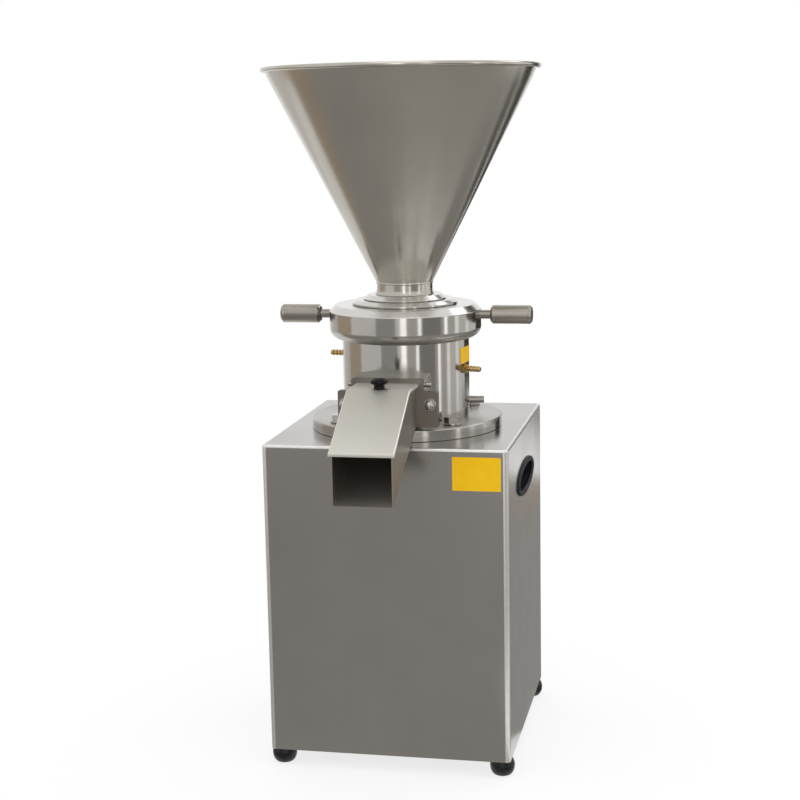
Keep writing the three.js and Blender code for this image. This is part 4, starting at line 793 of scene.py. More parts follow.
def dress(finish: Finish, *nodes: str) -> None:
    """Gives the frame's own nodes a finish."""
    for name in nodes:
        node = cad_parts[name]
        material = finish.material()
        if not node.material_slots:
            node.data.materials.append(material)
        for slot in node.material_slots:
            slot.material = material
        LOG.info("%s: dressed", name)


def paint_top_light(piece: Object) -> None:
    """Paints the upward faces and bevels of a turned piece brighter, as painted light from above."""
    refinish(piece, TOP_LIGHT_STEEL, lambda way, _: way.z > 0.5)


# Sub-assemblies


class Assembly(Protocol):
    """Anything that builds and dresses its own share of the scene."""

    def build(self) -> None:
        """Builds and dresses it."""


@dataclass
class Cabinet:
    """The sheet steel cabinet with its feet, pulls, buttons, rear panel and inner frame."""

    width: float = 352
    depth: float = 374
    bottom: float = 25.3
    sheet: float = 1.5
    corner: float = 7
    top_edge: float = 4
    lip: float = 22
    foot_from_side: float = 14.5
    foot_from_end: float = 22.5
    pull_y: float = 6
    pull_z: float = DECK - 75
    pull_window: Point = (79.7, 20.7)
    pull_facets: int = 72
    head_bore: float = 46
    button_y: float = -100
    button_drop: float = 60
    button_pitch: float = 45
    button_hole: float = 11.7
    overlap: float = 12  # of the rear panel on the shell's lips
    gland_x: float = -111
    gland_rise: float = 40
    gland_hole: float = 10.2
    louvre_x: float = 62
    louvre_rise: float = 90
    louvre_pitch: float = 24.0
    louvre_rows: int = 6
    louvre_half: float = 48
    slot_half: float = 3.5
    screw_inset: float = 7

    def outline(self, inset: float, z: float, steps: int = 8) -> list[Vector]:
        """Gives the cabinet's rounded outline, drawn in by an inset, at a height."""
        radius = max(self.corner - inset, 0.5)
        x, y = self.width / 2 - inset - radius, self.depth / 2 - inset - radius
        points = []
        for cx, cy, start in ((x, y, 0), (-x, y, 90), (-x, -y, 180), (x, -y, 270)):
            for step in range(steps + 1):
                px, py = polar(radius, start + 90 * step / steps)
                points.append(Vector((cx + px, cy + py + CABINET_Y, z)))
        return points

    def rounded_box(self, inset: float) -> Mesh:
        """Makes the shell's outside, or its inside when drawn in, with a rounded upper edge."""
        high, edge = DECK - inset, self.top_edge - inset
        rim = [(inset + edge * (1 - math.sin(a)), high - edge * (1 - math.cos(a)))
               for a in (math.radians(15 * i) for i in range(6, -1, -1))]
        return loft([self.outline(inset, self.bottom + inset), *(self.outline(*level) for level in rim)])

    def on_left_panel(self, mesh: Mesh, row: int) -> Mesh:
        """Puts a shape made along Z at a button's place in the left panel."""
        height = DECK - self.button_drop - self.button_pitch * row
        return shifted(aimed(mesh, (-1, 0, 0)), -self.width / 2, self.button_y, height)

    def shell(self) -> None:
        """Builds the bent and welded sheet shell with its windows and holes."""
        open_x, open_y = self.width / 2 - self.lip, self.depth / 2 - self.lip
        below = block((-open_x, open_x), (CABINET_Y - open_y, CABINET_Y + open_y),
                      (self.bottom - 2, self.bottom + 4))
        window = block((-open_x, open_x), (CABINET_Y + open_y, CABINET_Y + self.depth / 2 + 2),
                       (self.bottom + self.lip, DECK - self.lip))
        bore = drill(self.head_bore, DECK - 6, DECK + 2, 64)
        pulls = [loft([self.side_loop(side, *self.pull_window, out) for out in (-4, 4)]) for side in (-1, 1)]
        buttons = [self.on_left_panel(drill(self.button_hole, -2, 6), row) for row in (0, 1)]
        mesh = combine(self.rounded_box(0), Operation.CUT, self.rounded_box(self.sheet), below, window, bore,
                       *pulls, *buttons)
        body = place("cabinet_body", mesh, HAIRLINE_STEEL, "machine", "cabinet_steel", ["cabinet_shell"], 30)
        # Painted highlight: the rounded corner and edge facets of the shell get a much brighter steel
        refinish(body, FOLD_HIGHLIGHT_STEEL, lambda way, _: max(abs(way.x), abs(way.y), abs(way.z)) < 0.997)

    def side_loop(self, side: int, length: float, height: float, out: float) -> list[Vector]:
        """Gives an ellipse on a side panel, standing out of it by a distance."""
        turns = [math.tau * i / self.pull_facets for i in range(self.pull_facets)]
        return [Vector((side * (self.width / 2 + out), self.pull_y + length * math.cos(a),
                        self.pull_z + height * math.sin(a))) for a in turns]

    def pull(self, side: int, name: str) -> None:
        """Builds one recessed oval pull: its back, a rolled rim, an undercut finger lip and a bowl."""
        back = [(40, 5, -24.6), (68, 11, -24.5), (75.5, 16.5, -23.8), (78.2, 19.2, -21.5), (79, 20, -18),
                (79, 20, 0.3)]
        rim = [(84, 25, 0.3), (84, 25, 1.6), (83.2, 24.2, 2.7), (81.6, 22.6, 3.3), (79.5, 20.5, 3.3),
               (77, 18, 2.9), (75.6, 16.6, 2.0), (75, 16, 0.6), (75.4, 16.4, -0.8), (76.6, 17.6, -1.8)]
        bowl = [(77, 18, -4), (77, 18, -17), (76, 17, -20), (73, 14.5, -22.2), (66, 9, -22.9), (40, 4, -23)]
        mesh = loft([self.side_loop(side, *level) for level in back + rim + bowl])
        place(f"pull_{name}", mesh, PULL_NYLON, "machine", "black_plastic", [f"side_pull_{name}"], 40)

    def feet(self) -> None:
        """Repeats one domed rubber foot at the four corners."""
        profile = [(0, 0), (9.9, 0), (12.8, 1), (14.8, 3.2), (16.4, 6), (17.4, 9), (18, 13.7), (17.8, 16.8),
                   (16.9, 20), (15.8, 22.6), (14.4, 25), (0, 25)]
        mesh = grid_repeat().run(turned(profile, 1.5, 48, 2), FOOT_RUBBER, Columns=2, Rows=2,
                                 Width=self.width - 2 * self.foot_from_side,
                                 Depth=self.depth - 2 * self.foot_from_end)
        place("rubber_feet", shifted(mesh, 0, CABINET_Y, 0), FOOT_RUBBER, "machine", "foot_rubber",
              ["foot_front_left", "foot_front_right", "foot_rear_left", "foot_rear_right"], 40)

    @property
    def rear_face(self) -> float:
        """Gives the place of the rear panel's outer face."""
        return CABINET_Y + self.depth / 2 + SEAT_GAP + self.sheet

    @property
    def rear_box(self) -> tuple[float, float, float]:
        """Gives the rear panel's half width, underside and top."""
        grown = self.overlap - self.lip
        return self.width / 2 + grown, self.bottom - grown, DECK + grown

    def at_gland(self, mesh: Mesh, y: float) -> Mesh:
        """Puts a shape made along Z at the gland's place, pointing to the rear."""
        return shifted(aimed(mesh, (0, 1, 0)), self.gland_x, y, self.bottom + self.gland_rise)

    def rear_panel(self) -> None:
        """Builds the service panel with its slots, and the pressed hoods over them."""
        half, low, high = self.rear_box
        outer, inner = self.rear_face, self.rear_face - self.sheet
        first, span = self.bottom + self.louvre_rise, self.louvre_pitch * (self.louvre_rows - 1)
        long, wide = self.louvre_half, self.slot_half
        slots = [block((x - long, x + long), (inner - 2, inner + 4), (z - wide, z + wide))
                 for x in (-self.louvre_x, self.louvre_x)
                 for z in (first + self.louvre_pitch * row for row in range(self.louvre_rows))]
        panel = combine(block((-half, half), (inner, outer), (low, high)), Operation.CUT, *slots,
                        self.at_gland(drill(self.gland_hole, -2, 4), inner))
        place("service_panel", eased(panel, 0.3), HAIRLINE_STEEL, "machine", "cabinet_steel", ["rear_panel"])
        hood = [(0, 6.7), (1.5, 6.5), (4.2, 4.4), (5.6, 1.6), (6, -1), (6, -3.5), (4.6, -3.5), (4.5, -0.8),
                (3.6, 1.8), (2, 3.8), (0, 4.6)]
        hoods = grid_repeat().run(rotated(prism(hood, 2 * long), -90, "X"), HAIRLINE_STEEL,
                                  Width=2.0 * self.louvre_x, Depth=span, Columns=2, Rows=self.louvre_rows)
        hoods = shifted(rotated(hoods, 90, "X"), 0, outer - 0.2, first + span / 2)
        place("louvre_hoods", hoods, HAIRLINE_STEEL, "machine", "cabinet_steel")

    def rear_fittings(self) -> None:
        """Repeats the rear panel's cross-slotted screws and builds the cable gland."""
        half, low, high = self.rear_box
        slot_x, slot_y, slot_z = (-2.6, 2.6), (-0.5, 0.5), (1.7, 4)
        head = combine(turned([(0, 0), (4.2, 0), (4.0, 1.4), (2.6, 2.4), (0, 2.8)], 0.3, 24), Operation.CUT,
                       block(slot_x, slot_y, slot_z), block(slot_y, slot_x, slot_z))
        screws = grid_repeat().run(head, FASTENER_STEEL, Width=2 * (half - self.screw_inset),
                                   Depth=high - low - 2 * self.screw_inset, Columns=2, Rows=4)
        screws = shifted(rotated(screws, -90, "X"), 0, self.rear_face, (low + high) / 2)
        place("panel_screws", screws, FASTENER_STEEL, "machine", "turned_steel")
        gland = turned([(7, -8), (9.5, -8), (9.5, 0), (12, 0), (12, 3), (9.5, 3), (9.5, 8), (8.5, 9), (7, 9)],
                       0.5, 36)
        place("gland", self.at_gland(gland, self.rear_face + SEAT_GAP), PHENOLIC, "machine", "black_plastic",
              ["cable_gland"], 40)

    def buttons(self) -> None:
        """Builds both push buttons and their bezels in the left panel."""
        bezel = [(0, -30), (11, -30), (11, 0.3), (14.5, 0.3), (14.5, 3), (13.5, 4), (9.2, 4), (9.2, -27.5),
                 (0, -27.5)]
        for row, name in enumerate(("start", "stop")):
            place(f"{name}_surround", self.on_left_panel(turned(bezel, 0.5, 48), row), PHENOLIC, "machine",
                  "black_plastic", [f"{name}_bezel"], 40)
        start = [(0, -24.2), (8.5, -24.2), (8.5, 9.8), (7.6, 9.8), (6.8, 9.2), (0, 9.0)]
        stop = [(0, -24.2), (8.5, -24.2), (8.5, 7.3), (13, 7.3), (13, 13.2), (11, 15), (6, 15.3), (0, 15.3)]
        place("start_cap", self.on_left_panel(turned(start, 0.6, 48), 0), GREEN_PLASTIC, "start_button",
              "green_plastic", ["start_button"], 40)
        place("stop_cap", self.on_left_panel(turned(stop, 0.8, 48), 1), RED_PLASTIC, "stop_button",
              "red_plastic", ["stop_button"], 40)

    def front_plate(self) -> None:
        """Puts the bare yellow foil plate on the front panel."""
        outline = filleted([(98, 419.5), (166, 419.5), (166, 467), (98, 467)], 1.0)
        plate = shifted(prism(outline, 0.35, "Y"), 0, CABINET_Y - self.depth / 2 - 0.2, 0)
        place("front_plate", plate, YELLOW_FOIL, "machine", "cabinet_steel")

    def build(self) -> None:
        """Builds the whole cabinet."""
        self.shell()
        self.pull(-1, "left")
        self.pull(1, "right")
        self.feet()
        self.rear_panel()
        self.rear_fittings()
        self.buttons()
        self.front_plate()
        dress(FRAME_PAINT, "carrying_frame", "motor_plate")


class Motor:
    """The upright motor inside the cabinet; its solids keep their shapes."""

    def build(self) -> None:
        """Dresses the motor's nodes."""
        dress(MOTOR_PAINT, "motor_frame", "motor_top_bell", "motor_low_bell", "fan_cowl", "terminal_box")
        dress(CORE_IRON, "motor_rotor_core", "seal_ring")
        dress(WINDING, "motor_stator_core")
        dress(PHENOLIC, "motor_fan")
        dress(FASTENER_STEEL, "top_bearing", "low_bearing", "main_shaft")


def outlet_plate(front: float, thickness: float) -> Mesh:
    """Makes the outlet's flange outline: an upright plate with two ears."""
    low, ears, top = FLANGE_TOP + 5, FLANGE_TOP + 56, FLANGE_TOP + 74
    outline = [(-EAR_HALF, low), (EAR_HALF, low), (EAR_HALF, ears), (OUTLET_HALF, ears), (OUTLET_HALF, top),
               (-OUTLET_HALF, top), (-OUTLET_HALF, ears), (-EAR_HALF, ears)]
    return shifted(prism(filleted(outline, 3.0, 4), thickness, "Y"), 0, front + thickness / 2, 0)


def outlet_bore(front: float, back: float) -> Mesh:
    """Makes a cutter as wide and high as the outlet's opening."""
    return block((-BORE_HALF, BORE_HALF), (front, back), (FLANGE_TOP + 8, FLANGE_TOP + 65))


def at_studs(mesh: Mesh, y: float) -> Mesh:
    """Puts a shape made along Z at both outlet studs, where it points to the front."""
    return merged(*[shifted(aimed(mesh.copy(), (0, -1, 0)), side * STUD_X, y, STUD_Z) for side in (-1, 1)])


@dataclass
class GrindingHead:
    """The turned housing with its outlet box, bolts, barbs and drain."""

    flange_radius: float = 141

    def housing(self) -> None:
        """Builds the housing: body and flange in one turning, with the outlet box welded on."""
        flange, body = self.flange_radius, BODY_RADIUS
        profile = [(38, DECK + SEAT_GAP), (flange, DECK + SEAT_GAP), (flange, FLANGE_TOP - 1.5),
                   (flange - 1.5, FLANGE_TOP), (body, FLANGE_TOP), (body, BODY_TOP), (86, BODY_TOP),
                   (86, 640), (80.4, 640), (80.4, BODY_TOP + 3), (76, BODY_TOP + 3), (76, BODY_TOP - 24),
                   (84, BODY_TOP - 32), (84, FLANGE_TOP + 5), (38, FLANGE_TOP + 5)]
        box = block((-OUTLET_HALF, OUTLET_HALF), (OUTLET_FACE, -52), (493, FLANGE_TOP + 74))
        box = bend_edges(box, lambda at, way: abs(way.y) > 0.9 and at.z > 500, 3.0, 4)
        box = combine(box, Operation.CUT, drill(88, 480, 620, 160))
        mesh = combine(turned(profile, 0.7, 160), Operation.JOIN, box, outlet_plate(OUTLET_FACE, 4))
        mesh = combine(mesh, Operation.CUT, outlet_bore(-134, -76))
        place("housing_body", mesh, TURNED_STEEL, "machine", "turned_steel", ["housing"], 28)
        place("outlet_studs", at_studs(disc(4, 0, 14, 0.8, 24), OUTLET_FACE + 1), FASTENER_STEEL, "machine",
              "turned_steel")
        place("outlet_seal", eased(outlet_plate(-131.7, 1.4), 0.2), SEAL_RUBBER, "machine", "seal_rubber",
              ["outlet_gasket"])

    def bolts(self) -> None:
        """Repeats the flange bolts round the bolt circle."""
        seat, head = FLANGE_TOP + SEAT_GAP, 497.8
        bolt = merged(disc(13, seat, head, 0.5, 40), hexagon(21, head, 506.8), disc(7, 466.2, 495.4, 0.3, 24))
        mesh = circle_repeat().run(bolt, FASTENER_STEEL, Radius=118.0, Count=4, Start=math.radians(45))
        place("flange_bolts", mesh, FASTENER_STEEL, "machine", "turned_steel",
              [f"flange_bolt_{i}" for i in (1, 2, 3, 4)])

    def barb(self, node: str, angle: float, height: float) -> None:
        """Builds one brass hose barb standing out of the body."""
        tip, ridges = 120, 3
        pitch = (tip - 103.8) / ridges
        profile = [(2, 87.5), (4.8, 87.5), (4.8, 94.8), (3.4, 94.8)]
        for low in (103.6 + pitch * i for i in range(ridges)):
            profile += [(3.4, low), (4.6, low + 0.6), (3.4, low + 0.95 * pitch)]
        profile += [(2, tip)]
        barb = merged(lathe(filleted(profile, 0.25, 2), 32), hexagon(12, 93.8, 99.8, 2.6))
        place(node.replace("water", "coolant"), shifted(rotated(aimed(barb, (1, 0, 0)), angle), 0, 0, height),
              BRASS, "machine", "brass", [node], 40)

    def drain(self) -> None:
        """Builds the drain pipe."""
        pipe = rotated(aimed(tube(3.5, 5, 86, 115, 0.4, 32), (1, 0, 0)), 8)
        # The drain pipe reuses the darker painted-shade steel of the trough
        place("drain", shifted(pipe, 0, 0, 515), SHADED_SHEET_STEEL, "machine", "turned_steel", ["drain_pipe"], 40)

    def outlet_fasteners(self) -> None:
        """Builds the acorn nuts on the studs and the outlet's side screws."""
        dome = lathe([(0, 14.2), (2.5, 13.9), (4.6, 12.6), (5.8, 10.6), (6.2, 8.2), (6.2, 7.4), (0, 7.4)], 36)
        acorn = merged(tube(4.7, 9, 0, 1.6, 0.3, 36), hexagon(13, 1.6, 8.2), dome)
        place("acorn_nuts", at_studs(acorn, CHUTE_PLATE_FACE - SEAT_GAP), FASTENER_STEEL, "machine",
              "turned_steel", ["acorn_nut_left", "acorn_nut_right"])
        profile = [(0, -7), (2.4, -7), (2.4, 0.3), (3.6, 0.3), (3.6, 8.3), (0, 8.3)]
        screw = combine(turned(profile, 0.4, 32), Operation.CUT, hexagon(3, 5.5, 12))
        for side, suffix in ((-1, "left"), (1, "right")):
            piece = shifted(aimed(screw.copy(), (side, 0, 0)), side * OUTLET_HALF, -118, 558)
            place(f"socket_screw_{suffix}", piece, FASTENER_STEEL, "machine", "turned_steel",
                  [f"outlet_screw_{suffix}"])

    def body_plate(self) -> None:
        """Wraps the small bare foil plate round the body."""
        radius = BODY_RADIUS + 0.1
        angles = [-15 + 2.5 * i for i in range(13)]
        inner, outer = [polar(radius, a) for a in angles], [polar(radius + 0.35, -a) for a in angles]
        foil = rotated(shifted(prism(inner + outer, 23.5, "Z"), 0, 0, 586.7), -6)
        place("body_plate", foil, YELLOW_FOIL, "machine", "turned_steel")

    def build(self) -> None:
        """Builds the fixed head."""
        self.housing()
        self.bolts()
        self.barb("water_inlet_barb", -14, FLANGE_TOP + 72)
        self.barb("water_return_barb", 171.5, FLANGE_TOP + 88)
        self.drain()
        self.outlet_fasteners()
        self.body_plate()
        dress(TURNED_STEEL, "seal_seat")


@dataclass
class Chute:
    """The folded trough on its flange plate, and the loose lid with its knob."""

    width: float = 83
    sheet: float = 1.5
    level: float = 560.7
    mouth_top: float = 496.7
    mouth_low: float = 422.5
    floor: float = 498.7
    floor_start: float = 142
    reach: float = 304
    bend: float = 196
    lid_width: float = 90
    lip: float = 3
    overhang: float = 4
    deburred: float = 0.35

    def trough(self) -> None:
        """Builds the trough from one folded sheet and welds it to its plate."""
        slope = math.atan2(self.floor - self.mouth_low, self.reach - self.floor_start)
        rise = self.sheet / math.cos(slope)
        outer = [(-self.reach, self.mouth_low), (-self.reach, self.mouth_top), (-self.bend, self.level),
                 (-135, self.level), (-135, self.floor), (-self.floor_start, self.floor)]
        past = -self.reach - 2
        inner = [(past, self.mouth_low + rise - 2 * math.tan(slope)), (past, self.level + 2),
                 (CHUTE_PLATE_FACE, self.level + 2), (CHUTE_PLATE_FACE, self.floor + self.sheet),
                 (-self.floor_start, self.floor + rise)]
        half, clear = self.width / 2, self.width / 2 - self.sheet

        def folded(x: float, drop: float) -> Test:
            """Gives a test for the long edges between floor and sides."""
            def test(at: Vector, way: Vector) -> bool:
                """Tells whether an edge lies on the fold."""
                line = self.floor + min(0.0, at.y + self.floor_start) * math.tan(slope) + drop
                return abs(abs(at.x) - x) < 0.2 and abs(at.z - line) < 2.5 and abs(way.y) > 0.5
            return test

        outside = bend_edges(prism(outer, 2 * half), folded(half, 0), 2.8, 4)
        inside = bend_edges(prism(inner, 2 * clear), folded(clear, self.sheet), 1.3, 4)
        trough = combine(outside, Operation.CUT, inside)
        plate = combine(outlet_plate(CHUTE_PLATE_FACE, 4), Operation.CUT, outlet_bore(-140, -130),
                        at_studs(drill(4.7, -4, 9, 24), -132))
        mesh = combine(trough, Operation.JOIN, plate)
        mesh = combine(mesh, Operation.CUT, outlet_bore(-140, -130))
        # Painted shade: the trough's outside takes a darker copy of its own sheet
        piece = place("chute_trough", eased(mesh, self.deburred), SHADED_SHEET_STEEL, "machine", "chute_steel",
                      ["outlet_chute"])
        # Painted shade: the trough's inner faces get their own darker copy of the sheet
        refinish(piece, TROUGH_INSIDE_SHADE_STEEL, lambda way, at: abs(at.x) < clear + 0.1 and at.y < -140 and (
            at.x * way.x < -1 or (abs(way.x) < 0.5 and way.z > 0.5)))
        # Painted shade: the plate's front faces and ears get a darker steel
        refinish(piece, PLATE_SHADE_STEEL, lambda way, at: at.y > CHUTE_PLATE_FACE - 0.6 and way.y < -0.9)

    def lid(self) -> None:
        """Builds the bent lid with its turned-down lips, and its knob."""
        fall = (self.level - self.mouth_top) / (self.reach - self.bend)
        front, rear, seat = -(self.reach + self.overhang), CHUTE_PLATE_FACE - SEAT_GAP, self.level + SEAT_GAP
        low = self.mouth_top + SEAT_GAP - self.overhang * fall

        def outline(rise: float, drop: float, past: float) -> list[Point]:
            """Gives the lid's side outline."""
            return [(front + past, low + past * fall + rise), (-self.bend, seat + rise),
                    (rear + past, seat + rise), (rear + past, seat + drop),
                    (-self.bend, seat + drop), (front + past, low + past * fall + drop)]

        def upper(x: float, rise: float) -> Test:
            """Gives a test for the lid's upper edges."""
            def test(at: Vector, way: Vector) -> bool:
                """Tells whether an edge is a long or front upper one."""
                on_top = abs(at.z - seat - rise - min(0.0, at.y + self.bend) * fall) < 0.8
                along = abs(abs(at.x) - x) < 0.2 and abs(way.x) < 0.1
                return on_top and (along or (abs(way.x) > 0.9 and at.y < -self.reach - 1))
            return test

        outside = bend_edges(prism(outline(self.sheet, -self.lip, 0), self.lid_width),
                             upper(self.lid_width / 2, self.sheet), 2.2, 4)
        clear = self.lid_width - 2 * self.sheet
        inside = bend_edges(prism(outline(0, -2 * self.lip, self.sheet), clear), upper(clear / 2, 0), 0.8, 3)
        mesh = eased(combine(outside, Operation.CUT, inside), self.deburred)
        plate = place("lid_plate", mesh, SATIN_STEEL, "chute_lid", "chute_steel", ["chute_lid"])
        # Painted highlight: the lid's bent edges get a much brighter steel
        refinish(plate, FOLD_HIGHLIGHT_STEEL, lambda way, _: 0.2 < abs(way.x) < 0.98)
        knob = [(0, 0), (8.1, 0), (7.7, 1.5), (7.4, 5), (8.2, 6.5), (11, 7.2), (12.3, 8.6), (12.2, 11.4),
                (10.6, 13.2), (7, 14.5), (3, 15), (0, 15)]
        piece = shifted(turned(knob, 1.2, 48, 3), 0, 9 - self.bend, seat + self.sheet + SEAT_GAP)
        place("knob", piece, PHENOLIC, "chute_lid", "black_plastic", ["lid_knob"], 50)

    def build(self) -> None:
        """Builds the chute and its lid."""
        self.trough()
        self.lid()


@dataclass
class AdjustingRing:
    """The threaded ring with its two knurled handles."""

    radius: float = 112
    rod_radius: float = 6.5
    grip_start: float = 128
    grip_end: float = 188.5
    grip_radius: float = 13.8

    def ring(self) -> None:
        """Turns the ring: curved underside, straight face, bevelled top."""
        under = [(BODY_RADIUS + (self.radius - BODY_RADIUS) * math.sin(a),
                  RING_BOTTOM + 16 * (1 - math.cos(a))) for a in (math.radians(9 * i) for i in range(11))]
        profile = [*under, (self.radius, 651), (103, RING_TOP), (70, RING_TOP), (70, RING_LIP),
                   (86.7, RING_LIP), (86.7, RING_BOTTOM)]
        paint_top_light(place("ring_body", turned(profile, 1.0, 160), TURNED_STEEL, "adjusting_ring", "turned_steel",
                       ["adjusting_ring"], 24))

    def handle(self, side: int, suffix: str) -> None:
        """Builds one handle: a stout rod and a knurled grip with chamfered ends."""
        def outward(mesh: Mesh) -> Mesh:
            """Lays a shape made along Z down as a handle."""
            return shifted(aimed(mesh, (side, 0, 0)), 0, 0, HANDLE_Z)

        rod = disc(self.rod_radius, 100, 177.7, 0.6, 48)
        place(f"rod_{suffix}", outward(rod), BAR_STEEL, "adjusting_ring", "turned_steel",
              [f"handle_rod_{suffix}"])
        start, end, radius, rings = self.grip_start, self.grip_end, self.grip_radius, 128
        first, last = start + 3.6, end - 3.6
        straight = [(radius, first + (last - first) * i / rings) for i in range(rings + 1)]
        profile = [(0, 178), (7.2, 178), (7.2, start + 0.6), (7.8, start), (radius - 3.4, start),
                   (radius - 2.8, start + 0.3), (radius - 0.4, start + 2.9), *straight,
                   (radius - 0.4, end - 2.9), (radius - 2.8, end - 0.3), (radius - 3.4, end), (0, end)]
        grip = knurl_shape().run(lathe(profile, 160), BAR_STEEL, Pitches=42, Pitch=2.0, Depth=0.3,
                                 Low=first + 1.5, High=last - 1.5)
        place(f"grip_{suffix}", outward(grip), BAR_STEEL, "adjusting_ring", "turned_steel",
              [f"handle_grip_{suffix}"], 60)

    def build(self) -> None:
        """Builds the ring and both handles."""
        self.ring()
        self.handle(-1, "left")
        self.handle(1, "right")


class StatorCarrier:
    """The seat that slides in the housing, its cap and the toothed stator."""

    def build(self) -> None:
        """Builds the seat and cap, and dresses the rest."""
        low, high, step, top = BODY_TOP - 82, BODY_TOP - 22, BODY_TOP + 3.6, RING_LIP - SEAT_GAP
        seat = [(58.3, low), (65.5, low), (65.5, high), (75.3, high), (75.3, high + 6), (72.3, high + 6),
                (72.3, high + 9.6), (75.3, high + 9.6), (75.3, step), (79.7, step), (79.7, top), (69.3, top),
                (69.3, RING_TOP), (38, RING_TOP), (38, 640), (31, high + 8), (31, high + 0.3),
                (58.3, high + 0.3)]
        place("seat_body", turned(seat, 0.5, 96), TURNED_STEEL, "stator_carrier", "turned_steel",
              ["stator_seat"], 28)
        cap = [(38, CAP_BOTTOM), (77.7, CAP_BOTTOM), (77.7, CAP_BOTTOM + 2.6), (72, CAP_TOP), (38, CAP_TOP)]
        paint_top_light(place("cap_disc", turned(cap, 0.7, 160), TURNED_STEEL, "stator_carrier", "turned_steel",
                       ["seat_cap"], 24))
        dress(TURNED_STEEL, "stator_ring")
        dress(SEAL_RUBBER, "seat_o_ring")


class Rotor:
    """What turns: toothed cone, feed impeller, cap nut, paddle and shaft."""

    def build(self) -> None:
        """Builds the impeller and cap nut that show in the throat, and dresses the rest."""
        low = BODY_TOP - 23.7
        hub = tube(8.3, 14, low, low + 24, 1.0, 64)
        blade = rotated(eased(block((8.6, 26), (-1.5, 1.5), (-8.6, 8.6)), 0.6), 30, "X")
        blades = circle_repeat().run(shifted(blade, 0, 0, low + 12), FASTENER_STEEL,
                                     Radius=0.0, Count=3, Start=0.0)
        place("impeller", combine(hub, Operation.JOIN, blades), FASTENER_STEEL, "rotor", "turned_steel",
              ["feed_impeller"])
        dome = lathe([(0, 16), (5, 15.6), (9, 13.8), (11, 11), (11.4, 8.4), (11.4, 6.4), (0, 6.4)], 40)
        nut = shifted(merged(hexagon(24, 0, 9), dome), 0, 0, low + 24 + SEAT_GAP)
        place("cap_nut", nut, FASTENER_STEEL, "rotor", "turned_steel", ["rotor_cap_nut"])
        dress(TURNED_STEEL, "rotor_cone", "discharge_paddle")


@dataclass
class Hopper:
    """The spun cone with its rolled rim, neck and turned collar."""

    sheet: float = 2.0
    rim: float = 196.5
    neck: float = 41
    bead: float = 3.5

    def cone(self) -> None:
        """Builds the cone, its curl and its neck as one spun sheet."""
        across, height = self.rim - self.sheet / 2 + self.bead, CONE_TOP - 0.4
        curl = [(across + x, height + z) for x, z in (polar(self.bead, -150 + 25 * i) for i in range(14))]
        neck, foot, steps = self.neck, NECK_BOTTOM, 24
        weld = [(0, -3), (0.8, -2.5), (1.1, -1.6), (0.9, -0.7), (0.6, 0)]
        outside = [(neck + 2.5, foot), (neck + 1.5, foot + 1.6), (neck + 0.5, foot + 4), (neck, foot + 7),
                   *((neck + out, CONE_BOTTOM + rise) for out, rise in weld)]
        inside = [(self.rim - self.sheet, CONE_TOP + 0.5), (neck - 1.2, CONE_BOTTOM),
                  (neck - 1.9, CONE_BOTTOM - 2), (neck - 2, CONE_BOTTOM - 4), (neck - 2, foot)]
        side = [(neck + 0.6 + (self.rim - neck - 0.6) * i / steps,
                 CONE_BOTTOM + (CONE_TOP - 3 - CONE_BOTTOM) * i / steps) for i in range(1, steps)]
        place("hopper_cone", lathe([*outside, *side, *curl, *inside], 192), SPUN_STEEL, "hopper",
              "hopper_steel", ["hopper"], 50)

    def collar(self) -> None:
        """Turns the collar that seats the hopper on the cap."""
        profile = [(35.3, 655.5), (37.3, 655.5), (37.3, COLLAR_BOTTOM), (61, COLLAR_BOTTOM),
                   (61, COLLAR_BOTTOM + 1.2), (54, COLLAR_TOP), (35.3, COLLAR_TOP)]
        paint_top_light(place("collar_disc", turned(profile, 0.6, 160), TURNED_STEEL, "hopper", "turned_steel",
                       ["hopper_collar"], 24))

    def build(self) -> None:
        """Builds the hopper."""
        self.cone()
        self.collar()


